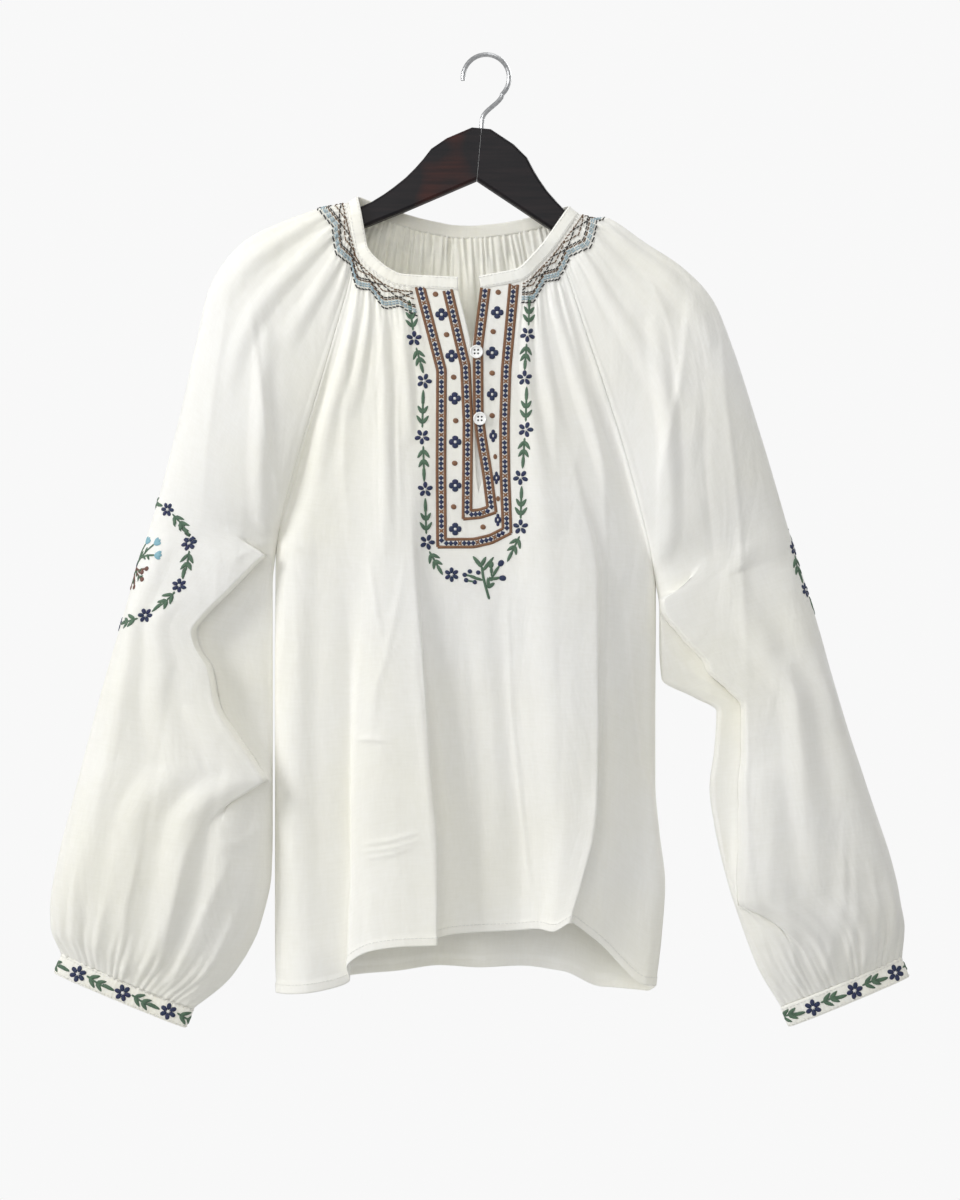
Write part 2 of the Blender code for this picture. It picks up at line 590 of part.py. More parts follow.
def strip_wall(rings, closed):
    """A solid through rings of four corners each, with end caps unless it is closed."""
    points = np.array(rings).reshape(-1, 3)
    count = len(rings)
    faces = []
    for i in range(count if closed else count - 1):
        for k in range(4):
            a, b = 4 * i + k, 4 * i + (k + 1) % 4
            c, d = 4 * ((i + 1) % count) + (k + 1) % 4, 4 * ((i + 1) % count) + k
            faces += [(a, b, c), (a, c, d)]
    if not closed:
        last = 4 * (count - 1)
        faces += [(0, 2, 1), (0, 3, 2), (last, last + 1, last + 2), (last, last + 2, last + 3)]
    return points, faces


def material(name, colour, roughness, metallic=0.0):
    made = bpy.data.materials.new(name)
    made.use_nodes = True
    shader = made.node_tree.nodes["Principled BSDF"]
    shader.inputs["Base Color"].default_value = (*colour, 1)
    shader.inputs["Roughness"].default_value = roughness
    shader.inputs["Metallic"].default_value = metallic
    return made


def add_object(name, mesh, finish):
    made = bpy.data.objects.new(name, mesh)
    mesh.materials.append(finish)
    bpy.context.scene.collection.objects.link(made)
    return made


def add_solid(name, points, faces, finish):
    """Makes an object from table points, turned outside out if its volume is negative."""
    mesh = bpy.data.meshes.new(name)
    spots = [(p[0] * MM, p[1] * MM, -p[2] * MM) for p in points]
    mesh.from_pydata(spots, [], [tuple(int(v) for v in f) for f in faces])
    body = bmesh.new()
    body.from_mesh(mesh)
    if body.calc_volume(signed=True) < 0:
        bmesh.ops.reverse_faces(body, faces=body.faces)
    body.to_mesh(mesh)
    body.free()
    mesh.shade_smooth()
    mesh.set_sharp_from_angle(angle=math.radians(50))
    return add_object(name, mesh, finish)


def cloth_panels():
    """The front, the back and both sleeves as middle surfaces."""
    body_rows = NECK_ROWS + RAGLAN_ROWS + BODY_ROWS
    sleeve_rows = NECK_ROWS + RAGLAN_ROWS + TUBE_ROWS + CUFF_ROWS

    def lifted(name, columns):
        def lift(column, place, split):
            gathered = split[0] > 1
            return gather_wave(column, place, gathered) + soft_fold(name, column, place, columns)
        return lift

    gathered, flat, sleeve = (NECK_SPLIT, 0), (1, 0), (NECK_SPLIT, CUFF_SPLIT)
    front_splits = [gathered] * LEFT_GATHERS + [flat] * 2 * PLACKET_HALF + [gathered] * RIGHT_GATHERS
    panels = {
        "front": Panel(front_point, front_splits, body_rows, lifted("front", FRONT_COLUMNS), True),
        "back": Panel(back_point, [gathered] * BACK_COLUMNS, body_rows, lifted("back", BACK_COLUMNS), False),
    }
    for name, point in (("sleeve_left", left_sleeve_point), ("sleeve_right", right_sleeve_point)):
        panels[name] = Panel(point, [sleeve] * SLEEVE_COLUMNS, sleeve_rows,
                             lifted(name, SLEEVE_COLUMNS), name == "sleeve_left")
        panels[name].is_sleeve = True
    armpits = {tuple(np.round(sleeve_point(side, 0, 1.0), 2)): sign
               for side, sign in (("left", -1), ("right", 1))}
    set_shared_normals(panels.values(), armpits)
    for panel in panels.values():
        panel.points = panel.points + panel.normals * panel.lifts[:, None]
    set_shared_normals(panels.values(), armpits)
    return panels


def neck_stations():
    """Points round the neck edge from one side of the slit to the other, with the
    direction in which the neckband rises from each."""
    runs = (
        (front_point, 0, (CENTRE, 15, 13, 11, 9, 7, 5, 3, 1)),
        (left_sleeve_point, 0, (22, 20, 18, 16, 14, 12, 11, 10, 8, 6, 4, 2)),
        (back_point, 0, range(0, BACK_COLUMNS + 1, 2)),
        (right_sleeve_point, 0, (2, 4, 6, 8, 10, 11, 12, 14, 16, 18, 20, 22)),
        (front_point, CENTRE, (30, 28, 26, 24, 22, 21, 19, CENTRE)))
    return [(point(column, 0.0, cell), band_way(point, column, 0.0, cell))
            for point, cell, columns in runs for column in columns]


def add_neckband(finish):
    stations = neck_stations()
    spots = np.array([s[0] for s in stations])
    rings = []
    for i, (spot, up) in enumerate(stations):
        line = spots[min(i + 1, len(spots) - 1)] - spots[max(i - 1, 0)]
        line = line / np.linalg.norm(line)
        rise = up - line * up.dot(line)
        rise = rise / np.linalg.norm(rise)
        side = np.cross(line, rise) * DOUBLED / 2
        low, high = spot + rise * BAND_GAP, spot + rise * (BAND_GAP + NECKBAND_HEIGHT)
        rings.append((low - side, high - side, high + side, low + side))
    points, faces = strip_wall(rings, closed=False)
    return add_solid("neckband", points, faces, finish)


def add_cuff(side, finish):
    """A flattened ring that carries on from the gathered end of the sleeve."""
    point = {"left": left_sleeve_point, "right": right_sleeve_point}[side]
    middle = (point(SLEEVE_COLUMNS / 2, 2.0) + point(0, 2.0)) / 2
    out_of = band_way(point, SLEEVE_COLUMNS / 4, 2.0, 0)
    rings = []
    for k in range(CUFF_COLUMNS):
        column = SLEEVE_COLUMNS * k / CUFF_COLUMNS
        spot = sleeve_point(side, column, 2.0)
        ahead = sleeve_point(side, (column + 0.25) % SLEEVE_COLUMNS, 2.0)
        behind = sleeve_point(side, (column - 0.25) % SLEEVE_COLUMNS, 2.0)
        away = np.cross(ahead - behind, out_of)
        away = away / np.linalg.norm(away)
        if away.dot(spot - middle) < 0:
            away = -away
        side_step = away * DOUBLED / 2
        low, high = spot + out_of * BAND_GAP, spot + out_of * (BAND_GAP + CUFF_HEIGHT)
        rings.append((low - side_step, high - side_step, high + side_step, low + side_step))
    points, faces = strip_wall(rings, closed=True)
    return add_solid("cuff_" + side, points, faces, finish)


def add_button(name, centre, front, finish):
    """A turned disc with a raised rim and four holes, flat against the placket."""
    x, drop = centre
    near = front.points[np.linalg.norm(front.points[:, (0, 2)] - np.array(centre), axis=1) < SEAT_REACH]
    seat = near[:, 1].min() - CLOTH / 2 - SEAT_GAP
    edge = [(BUTTON_RADIUS - inwards, height) for inwards, height in BUTTON_EDGE]
    profile = [(0, 0), *edge, (0, BUTTON_EDGE[-1][1])]
    body = bmesh.new()
    ring = [body.verts.new((px * MM, 0, pz * MM)) for px, pz in profile]
    edges = [body.edges.new(pair) for pair in zip(ring[:-1], ring[1:])]
    bmesh.ops.spin(body, geom=ring + edges, cent=(0, 0, 0), axis=(0, 0, 1),
                   angle=2 * math.pi, steps=16, use_merge=True)
    bmesh.ops.remove_doubles(body, verts=body.verts, dist=0.00001)
    if body.calc_volume(signed=True) < 0:
        bmesh.ops.reverse_faces(body, faces=body.faces)
    mesh = bpy.data.meshes.new(name)
    body.to_mesh(mesh)
    body.free()
    mesh.shade_smooth()
    mesh.set_sharp_from_angle(angle=math.radians(40))
    made = add_object(name, mesh, finish)
    made.location = (x * MM, seat * MM, -drop * MM)
    made.rotation_euler = (math.pi / 2, 0, 0)
    for sx in (-1, 1):
        for sy in (-1, 1):
            spot = (sx * BUTTON_PITCH * MM, sy * BUTTON_PITCH * MM, 0)
            bpy.ops.mesh.primitive_cylinder_add(vertices=6, radius=BUTTON_HOLE * MM,
                                                depth=CUTTER_DEPTH * MM, location=spot)
            cutter = bpy.context.object
            cutter.name = "hole_cutter"
            cutter.parent = made
            cutter.hide_render = True
            cutter.display_type = "WIRE"
            cut = made.modifiers.new("Hole", "BOOLEAN")
            cut.operation = "DIFFERENCE"
            cut.object = cutter
    return made


def tilted(out, drop):
    """Turns a point given in the hanger's own upright frame with its tilt."""
    cos, sin = math.cos(HANGER_TILT), math.sin(HANGER_TILT)
    return out * cos - drop * sin, out * sin + drop * cos


def add_arm(side, finish):
    """One half of the hanger: its outline given a thickness and rounded long edges."""
    name = "hanger_arm_" + side
    sign = {"left": -1, "right": 1}[side]
    outline = list(zip(ARM_TOP["out"], ARM_TOP["drop"])) + list(zip(ARM_BOTTOM["out"], ARM_BOTTOM["drop"]))
    body = bmesh.new()
    corners = []
    for out, drop in outline:
        x, z = tilted(sign * (out + JOINT_GAP / 2), PEAK_DROP + drop)
        corners.append(body.verts.new((x * MM, -ARM_THICK / 2 * MM, -z * MM)))
    face = body.faces.new(corners)
    grown = bmesh.ops.extrude_face_region(body, geom=[face])
    moved = [v for v in grown["geom"] if isinstance(v, bmesh.types.BMVert)]
    bmesh.ops.translate(body, verts=moved, vec=(0, ARM_THICK * MM, 0))
    bmesh.ops.recalc_face_normals(body, faces=body.faces)
    long_edges = [e for e in body.edges if abs(e.verts[0].co.y - e.verts[1].co.y) < 1e-6
                  and max(abs(tilt_back(v.co)) for v in e.verts) > JOINT_GAP * MM]
    bmesh.ops.bevel(body, geom=long_edges, offset=ARM_EDGE * MM, segments=2, profile=0.5,
                    affect="EDGES", clamp_overlap=True)
    mesh = bpy.data.meshes.new(name)
    body.to_mesh(mesh)
    body.free()
    mesh.shade_smooth()
    mesh.set_sharp_from_angle(angle=math.radians(40))
    return add_object(name, mesh, finish)


def tilt_back(spot):
    """How far out from the hanger's middle a finished point lies."""
    return spot.x * math.cos(HANGER_TILT) - spot.z * math.sin(HANGER_TILT)


def add_hook(finish):
    """Bent wire from the top of the wood up and round the crown."""
    apex = PEAK_DROP + ARM_TOP["drop"][0]
    radius = HOOK_RADIUS
    centre = radius - WIRE / 2
    start = (0.0, apex - HOOK_SHANK)
    path = [(0.0, apex - HOOK_SEAT), start]
    end = (radius * math.cos(HOOK_JOIN), centre - radius * math.sin(HOOK_JOIN))
    for k in range(1, BEND_STEPS):
        t = k / BEND_STEPS
        ease = t * t * (3 - 2 * t)
        path.append((start[0] + (end[0] - start[0]) * ease, start[1] + (end[1] - start[1]) * t))
    for k in range(CROWN_STEPS + 1):
        angle = HOOK_JOIN + HOOK_SWEEP * k / CROWN_STEPS
        path.append((radius * math.cos(angle), centre - radius * math.sin(angle)))
    curve = bpy.data.curves.new("hook", "CURVE")
    curve.dimensions = "3D"
    curve.bevel_depth = WIRE / 2 * MM
    curve.bevel_resolution = 2
    curve.use_fill_caps = True
    line = curve.splines.new("POLY")
    line.points.add(len(path) - 1)
    for spot, (out, drop) in zip(line.points, path):
        x, z = tilted(out, drop)
        spot.co = (x * MM, 0, -z * MM, 1)
    curve.materials.append(finish)
    made = bpy.data.objects.new("hook", curve)
    bpy.context.scene.collection.objects.link(made)
    return made


def main():
    for old in list(bpy.data.objects):
        bpy.data.objects.remove(old)
    cotton = material("white cotton", (0.88, 0.88, 0.84), 0.85)
    shell = material("white button", (0.85, 0.85, 0.83), 0.3)
    wood = material("dark stained wood", (0.018, 0.014, 0.015), 0.35)
    steel = material("hook steel", (0.55, 0.55, 0.56), 0.3, 1.0)
    panels = cloth_panels()
    for name, panel in panels.items():
        points, faces = thicken(panel)
        add_solid(name, points, faces, cotton)
    add_neckband(cotton)
    for side in ("left", "right"):
        add_cuff(side, cotton)
        add_arm(side, wood)
    for name, centre in BUTTONS.items():
        add_button(name, centre, panels["front"], shell)
    add_hook(steel)


main()
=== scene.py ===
# %% [markdown]
# # A gathered cotton blouse on a wooden hanger
# The real thing is a thin white cotton blouse with raglan sleeves. The cloth is gathered
# into a narrow neckband and two cuffs, and coloured thread is stitched over it.
# This lesson dresses a plain solid model of it. The solids come first, as a fixed frame.
# Cloth, stitches and buttons are then laid over them, from the tables the solids have.

import functools
import json
import math

import bmesh
import bpy
import numpy as np
from mathutils import Matrix, Vector
from mathutils.bvhtree import BVHTree

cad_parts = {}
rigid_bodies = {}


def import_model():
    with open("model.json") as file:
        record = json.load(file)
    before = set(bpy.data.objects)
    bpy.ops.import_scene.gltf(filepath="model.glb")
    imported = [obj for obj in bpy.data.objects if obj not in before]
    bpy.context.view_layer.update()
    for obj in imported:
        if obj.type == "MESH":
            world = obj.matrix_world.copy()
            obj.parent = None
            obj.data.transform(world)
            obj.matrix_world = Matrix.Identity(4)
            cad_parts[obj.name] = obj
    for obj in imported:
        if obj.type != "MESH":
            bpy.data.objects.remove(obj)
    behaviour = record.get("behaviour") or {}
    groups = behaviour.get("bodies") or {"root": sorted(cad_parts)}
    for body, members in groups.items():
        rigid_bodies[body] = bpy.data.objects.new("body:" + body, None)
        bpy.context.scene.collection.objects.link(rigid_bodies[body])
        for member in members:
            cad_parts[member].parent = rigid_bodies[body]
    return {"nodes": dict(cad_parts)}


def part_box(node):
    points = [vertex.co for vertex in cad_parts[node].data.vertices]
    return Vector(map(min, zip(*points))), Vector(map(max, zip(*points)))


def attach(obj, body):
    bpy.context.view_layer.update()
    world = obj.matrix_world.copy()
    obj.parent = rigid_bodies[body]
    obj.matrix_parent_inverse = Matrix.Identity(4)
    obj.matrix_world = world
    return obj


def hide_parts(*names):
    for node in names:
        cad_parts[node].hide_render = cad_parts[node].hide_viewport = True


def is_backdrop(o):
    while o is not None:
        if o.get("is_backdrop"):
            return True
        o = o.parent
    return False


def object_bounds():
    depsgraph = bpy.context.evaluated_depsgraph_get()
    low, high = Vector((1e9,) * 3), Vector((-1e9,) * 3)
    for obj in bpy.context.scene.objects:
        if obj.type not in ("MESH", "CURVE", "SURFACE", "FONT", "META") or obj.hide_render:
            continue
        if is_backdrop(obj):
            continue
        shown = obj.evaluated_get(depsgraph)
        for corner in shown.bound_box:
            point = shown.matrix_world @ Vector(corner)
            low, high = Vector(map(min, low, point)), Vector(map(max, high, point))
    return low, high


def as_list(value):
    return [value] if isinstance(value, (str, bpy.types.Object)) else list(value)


for leftover in list(bpy.data.objects):
    bpy.data.objects.remove(leftover)
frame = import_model()
CAD_BOX = [list(corner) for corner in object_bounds()]
MM = 0.001
print("solids in the frame:", sorted(frame["nodes"]))

# %% [markdown]
# ## Where things are
# Lengths are in millimetres until a mesh is made. x runs to the viewer's right, drop runs
# down from the inside of the hook, and depth runs away from the viewer. A place on the
# front can also be named by the picture's pixels, of which one is 0.865 mm.

# %% Turning places into points
PIXEL = 0.865
MIDDLE_PIXEL = (488.0, 57.0)


def on_front(px, py):
    """A picture place as x and drop."""
    return (px - MIDDLE_PIXEL[0]) * PIXEL, (py - MIDDLE_PIXEL[1]) * PIXEL


def to_world(points):
    """Table points in millimetres as world points in metres."""
    points = np.asarray(points, float)
    return np.stack((points[..., 0], points[..., 1], -points[..., 2]), axis=-1) * MM


# %% [markdown]
# ## Camera, light and floor
# The blouse was photographed straight on, at about the height of its own middle. A long
# lens from 2.2 metres away keeps its proportions. Large soft lights stand round it, and
# the room is plain white: brighter to the camera than it is as light on the cloth.

# %% Camera
CAMERA_AWAY, SENSOR = 2.2, 36
PICTURE_WIDE, PICTURE_HIGH = 960, 1200
VIEW_HEIGHT = PICTURE_HIGH * PIXEL * MM
view_x, view_drop = on_front(PICTURE_WIDE / 2, PICTURE_HIGH / 2)
camera_data = bpy.data.cameras.new("camera")
camera_data.sensor_width = SENSOR
camera_data.lens = SENSOR * CAMERA_AWAY / VIEW_HEIGHT
camera = bpy.data.objects.new("camera", camera_data)
camera.location = (view_x * MM, -CAMERA_AWAY, -view_drop * MM)
camera.rotation_euler = (math.pi / 2, 0, 0)
bpy.context.scene.collection.objects.link(camera)
bpy.context.scene.camera = camera
print("camera lens, mm:", round(camera_data.lens, 1))

# %% Lights
# Each lamp: where it stands, its width in metres and its watts. The camera can't see it.
LIGHTS_AIM = Vector((0, 0, -0.45))
LIGHTS = {
    "key": ((-2.3, -1.3, 0.6), 0.9, 38),
    "front": ((-0.3, -2.6, 0.5), 1.6, 17),
    "top": ((0.3, -0.3, 1.7), 1.2, 10),
    "back": ((1.2, 2.4, 0.6), 1.6, 26),
}
for name, (spot, size, watts) in LIGHTS.items():
    lamp = bpy.data.lights.new(name, "AREA")
    lamp.size = size
    lamp.energy = watts
    holder = bpy.data.objects.new(name, lamp)
    holder.location = spot
    holder.rotation_euler = (LIGHTS_AIM - Vector(spot)).to_track_quat("-Z", "Y").to_euler()
    holder.visible_camera = False
    bpy.context.scene.collection.objects.link(holder)

ROOM_LIGHT, ROOM_SEEN = 0.47, 0.94
world = bpy.data.worlds.new("soft room")
world.use_nodes = True
room = world.node_tree
lighting = room.nodes["Background"]
seen = room.nodes.new("ShaderNodeBackground")
for background, strength in ((lighting, ROOM_LIGHT), (seen, ROOM_SEEN)):
    background.inputs["Color"].default_value = (1, 1, 1, 1)
    background.inputs["Strength"].default_value = strength
either = room.nodes.new("ShaderNodeMixShader")
rays = room.nodes.new("ShaderNodeLightPath")
room.links.new(rays.outputs["Is Camera Ray"], either.inputs[0])
room.links.new(lighting.outputs[0], either.inputs[1])
room.links.new(seen.outputs[0], either.inputs[2])
room.links.new(either.outputs[0], room.nodes["World Output"].inputs["Surface"])
bpy.context.scene.world = world
bpy.context.scene.view_settings.view_transform = "Standard"

# %% [markdown]
# ## Helpers for materials
# One function turns a web colour into the linear colour that Blender works in, and one
# adds a node, sets its values and links its inputs.

# %% Colours and nodes


def linear(code):
    """An sRGB hex value as a linear colour."""
    parts = [int(code[i:i + 2], 16) / 255 for i in (0, 2, 4)]
    return (*[p / 12.92 if p <= 0.04045 else ((p + 0.055) / 1.055) ** 2.4 for p in parts], 1)


def node(tree, kind, values=(), links=(), **settings):
    """Adds one node. values and links pair an input's name or number with what it gets."""
    made = tree.nodes.new("ShaderNode" + kind)
    for key, value in settings.items():
        setattr(made, key, value)
    for key, value in dict(values).items():
        made.inputs[key].default_value = value
    for key, socket in dict(links).items():
        tree.links.new(socket, made.inputs[key])
    return made


def new_material(name):
    """A material with only its Principled shader, its nodes, and the shader itself."""
    made = bpy.data.materials.new(name)
    made.use_nodes = True
    return made, made.node_tree, made.node_tree.nodes["Principled BSDF"]


def colour_steps(tree, factor, *stops):
    """A colour ramp through (place, hex) stops."""
    ramp = node(tree, "ValToRGB", links={"Fac": factor})
    while len(ramp.color_ramp.elements) < len(stops):
        ramp.color_ramp.elements.new(0.5)
    for element, (place, code) in zip(ramp.color_ramp.elements, stops):
        element.position = place
        element.color = linear(code)
    return ramp.outputs["Color"]


def mixed_colour(tree, share, first, second, how="MIX"):
    """Mixes two colour sockets. The Mix node keeps its colours at inputs 6 and 7."""
    made = node(tree, "Mix", {0: share}, {6: first, 7: second}, data_type="RGBA", blend_type=how)
    return made.outputs[2]


def rough_between(tree, shader, factor, low, high):
    """Lets the roughness drift between two values."""
    drifting = node(tree, "MapRange", {"To Min": low, "To Max": high}, {"Value": factor})
    tree.links.new(drifting.outputs[0], shader.inputs["Roughness"])


def settle(shader, **values):
    """Sets values on the shader's own inputs, named with _ for each space."""
    for name, value in values.items():
        shader.inputs[name.replace("_", " ")].default_value = value


# %% [markdown]
# ## White cotton voile
# Voile is a fine plain weave, so light and limp that it holds small creases. Its threads
# are a quarter of a millimetre apart, too fine for the picture, so the weave is drawn at
# 0.9 mm. Longer, softer wrinkles come from stretched noise, and the colour drifts a
# little between a clean white and the warmer white of unbleached cotton.

# %% Cotton material
WEAVE, THREAD_DRIFT = 0.0009, 70


def cotton_material(name, cloth, wrinkle_strength):
    """White cotton that drifts between two tones. The wrinkles are only in its shading."""
    made, tree, shader = new_material(name)
    place = node(tree, "TexCoord")
    uv, spot = place.outputs["UV"], place.outputs["Object"]
    across = node(tree, "Mapping", {"Scale": (1 / WEAVE / 2, THREAD_DRIFT, 1)}, {"Vector": uv})
    down = node(tree, "Mapping", {"Scale": (THREAD_DRIFT, 1 / WEAVE / 2, 1)}, {"Vector": uv})
    warp = node(tree, "TexNoise", {"Scale": 1.0, "Detail": 2.0}, {"Vector": across.outputs[0]})
    weft = node(tree, "TexNoise", {"Scale": 1.0, "Detail": 2.0}, {"Vector": down.outputs[0]})
    threads = node(tree, "Math", {}, {0: warp.outputs["Fac"], 1: weft.outputs["Fac"]},
                   operation="ADD")
    half = node(tree, "Math", {1: 0.5}, {0: threads.outputs[0]}, operation="MULTIPLY").outputs[0]
    tall = node(tree, "Mapping", {"Scale": (26, 26, 9)}, {"Vector": spot})
    wrinkles = node(tree, "TexNoise", {"Scale": 1.0, "Detail": 3.0, "Roughness": 0.45,
                                       "Distortion": 0.6}, {"Vector": tall.outputs[0]})
    crumple = node(tree, "TexNoise", {"Scale": 85.0, "Detail": 2.0, "Roughness": 0.5},
                   {"Vector": spot})
    soft = node(tree, "Bump", {"Strength": wrinkle_strength, "Distance": 0.006},
                {"Height": wrinkles.outputs["Fac"]})
    small = node(tree, "Bump", {"Strength": 0.30, "Distance": 0.0012},
                 {"Height": crumple.outputs["Fac"], "Normal": soft.outputs[0]})
    fine = node(tree, "Bump", {"Strength": 0.14, "Distance": 0.0003},
                {"Height": half, "Normal": small.outputs[0]})
    tree.links.new(fine.outputs[0], shader.inputs["Normal"])
    drift = node(tree, "TexNoise", {"Scale": 5.0, "Detail": 3.0}, {"Vector": spot})
    tone = colour_steps(tree, drift.outputs["Fac"], (0.35, cloth[0]), (0.68, cloth[1]))
    thread_tone = colour_steps(tree, half, (0.35, "dedcd0"), (0.65, "ffffff"))
    tree.links.new(mixed_colour(tree, 0.12, tone, thread_tone, "MULTIPLY"),
                   shader.inputs["Base Color"])
    rough_between(tree, shader, half, 0.78, 0.95)
    settle(shader, Sheen_Weight=0.15, Sheen_Roughness=0.5, Specular_IOR_Level=0.25,
           Subsurface_Weight=0.8, Subsurface_Radius=(1.0, 1.0, 1.0), Subsurface_Scale=0.0009)
    return made


VOILE = cotton_material("cotton voile, woven", ("f8f7f1", "f5f3e6"), 0.5)
FOLDED = cotton_material("cotton voile, folded double", ("f9f8f2", "f6f4ea"), 0.25)

# %% [markdown]
# ## The tables that the cloth follows
# The frame was made from short tables of guide lines: how far each sleeve reaches at each
# place along it, and where the folds of the front and back run. The cloth here follows
# the same tables, read much more finely. A place is 0 at the neck, 1 at the armpit and 2
# at the lower edge. Columns count across a piece.

# %% Reading a table


def table(names, *rows):
    """A table with named columns, as one array for each name."""
    return dict(zip(names.split(), np.array(rows, float).T))


def along(rows, name, place, key="place"):
    """Reads a smooth curve through one column of a table, with no overshoot."""
    x, v = rows[key], rows[name]
    step = np.diff(x)
    slope = np.diff(v) / step
    tangent = np.zeros_like(v)
    tangent[0], tangent[-1] = slope[0], slope[-1]
    before, after = slope[:-1], slope[1:]
    turning = before * after > 0
    total = np.where(turning, before + after, 1.0)
    tangent[1:-1] = np.where(turning, 2 * before * after / total, 0.0)
    place = np.asarray(place, float)
    i = np.clip(np.searchsorted(x, place, side="right") - 1, 0, len(x) - 2)
    t = (place - x[i]) / step[i]
    return (v[i] * (1 + 2 * t) * (1 - t) ** 2 + v[i + 1] * t ** 2 * (3 - 2 * t)
            + step[i] * t * (1 - t) * (tangent[i] * (1 - t) - tangent[i + 1] * t))


def smooth_step(value, low, high):
    """0 below low, 1 above high, with a soft rise between."""
    t = np.clip((value - low) / (high - low), 0, 1)
    return t * t * (3 - 2 * t)


def step_lengths(points, axis=0):
    """Lengths of the steps between neighbours in a line or a grid of points."""
    return np.linalg.norm(np.diff(points, axis=axis), axis=-1)


def from_zero(steps, axis=0):
    """The running total of some steps, with a zero in front."""
    total = np.cumsum(steps, axis=axis)
    return np.concatenate((np.zeros_like(total.take([0], axis)), total), axis=axis)


def tube(place, outer_x, outer_drop, seam_x, seam_drop, bulge):
    """A row of a sleeve's table below the armpit, where its two seams are one."""
    return place, outer_x, outer_drop, seam_x, seam_drop, 0, seam_x, seam_drop, 0, bulge, 1


# %% The sleeves' tables
LEFT_GATHERS, PLACKET_HALF, RIGHT_GATHERS = 13, 4, 10
CENTRE = LEFT_GATHERS + PLACKET_HALF
FRONT_COLUMNS = CENTRE + PLACKET_HALF + RIGHT_GATHERS
BACK_COLUMNS, SLEEVE_COLUMNS = 28, 22
SLIT_END = 0.75
SLEEVE_NAMES = ("place outer_x outer_drop front_x front_drop front_depth "
                "back_x back_drop back_depth bulge close")
SLEEVES = {
    "left": table(
        SLEEVE_NAMES,
        (0.00, -121, 127, -114, 167, -16, -89, 139, 13, 0, 0),
        (0.15, -150, 133, -120, 200, -19, -97, 172, 16, 0, 0),
        (0.30, -183, 145, -131, 240, -22, -107, 212, 18, 0, 0),
        (0.45, -216, 165, -143, 282, -24, -119, 254, 19, 3, 0),
        (0.60, -241, 201, -156, 325, -24, -135, 300, 20, 8, 0.25),
        (0.75, -253, 258, -167, 362, -22, -150, 345, 18, 15, 0.5),
        (0.90, -271, 335, -178, 400, -12, -172, 395, 10, 22, 0.85),
        tube(1.00, -288, 396, -183, 422, 25),
        tube(1.12, -300, 430, -187, 458, 27),
        tube(1.25, -313, 475, -187, 500, 28),
        tube(1.40, -328, 528, -187, 553, 31),
        tube(1.55, -343, 585, -187, 610, 35),
        tube(1.70, -358, 643, -187, 665, 38),
        tube(1.80, -368, 683, -188, 706, 38),
        tube(1.88, -375, 722, -198, 752, 33),
        tube(1.94, -377, 751, -222, 795, 22),
        tube(2.00, -368, 776, -255, 823, 8)),
    "right": table(
        SLEEVE_NAMES,
        (0.00, 78, 136, 59, 164, -16, 49, 144, 13, 0, 0),
        (0.15, 104, 143, 70, 197, -19, 60, 180, 16, 0, 0),
        (0.30, 135, 161, 85, 243, -22, 72, 222, 18, 0, 0),
        (0.45, 168, 182, 100, 288, -24, 88, 268, 19, 3, 0),
        (0.60, 194, 209, 115, 335, -24, 105, 318, 20, 8, 0.25),
        (0.75, 212, 252, 128, 381, -22, 120, 366, 18, 15, 0.5),
        (0.90, 236, 330, 140, 428, -12, 136, 422, 10, 22, 0.85),
        tube(1.00, 258, 405, 145, 452, 25),
        tube(1.10, 268, 437, 149, 478, 26),
        tube(1.20, 279, 470, 149, 508, 27),
        tube(1.30, 289, 503, 151, 538, 28),
        tube(1.36, 295, 525, 178, 553, 29),
        tube(1.42, 302, 550, 199, 566, 30),
        tube(1.50, 311, 582, 197, 598, 31),
        tube(1.60, 322, 617, 193, 632, 34),
        tube(1.70, 333, 652, 198, 668, 36),
        tube(1.80, 346, 692, 208, 712, 37),
        tube(1.88, 354, 724, 220, 750, 33),
        tube(1.94, 359, 752, 234, 788, 22),
        tube(2.00, 357, 779, 254, 822, 8)),
}
UNDERARM_FOLDS = {
    "left": table(
        "place across pushed",
        (1.00, 0.83, 0), (1.03, 0.94, 0.4), (1.06, 0.88, 0.75), (1.09, 0.82, 0.85), (1.16, 0.68, 0.85),
        (1.24, 0.52, 0.85), (1.275, 0.475, 0.85), (1.31, 0.51, 0.85), (1.36, 0.61, 0.85),
        (1.44, 0.67, 0.85), (1.50, 0.79, 0.8), (1.56, 0.91, 0.7), (1.61, 0.98, 0.4), (1.72, 0.90, 0.05),
        (1.85, 0.83, 0), (2.0, 0.83, 0)),
    "right": table(
        "place across pushed",
        (1.00, 0.83, 0), (1.05, 0.97, 0.3), (1.09, 0.98, 0.7), (1.20, 0.84, 0.85), (1.30, 0.71, 0.85),
        (1.38, 0.75, 0.85), (1.43, 0.785, 0.85), (1.52, 0.78, 0.85), (1.70, 0.825, 0.85),
        (1.81, 0.93, 0.7), (1.87, 0.97, 0.3), (1.93, 0.90, 0.05), (2.0, 0.83, 0)),
}
FOLD_COLUMN, FOLD_LIP, FOLD_ROOM = 7, 0.02, 4.0
FOLD_WHOLE, FOLD_START = 0.5, 0.1
SEAM_CURVE, BELLY_CURVE, TURN_STEPS = 0.75, 0.8, 81

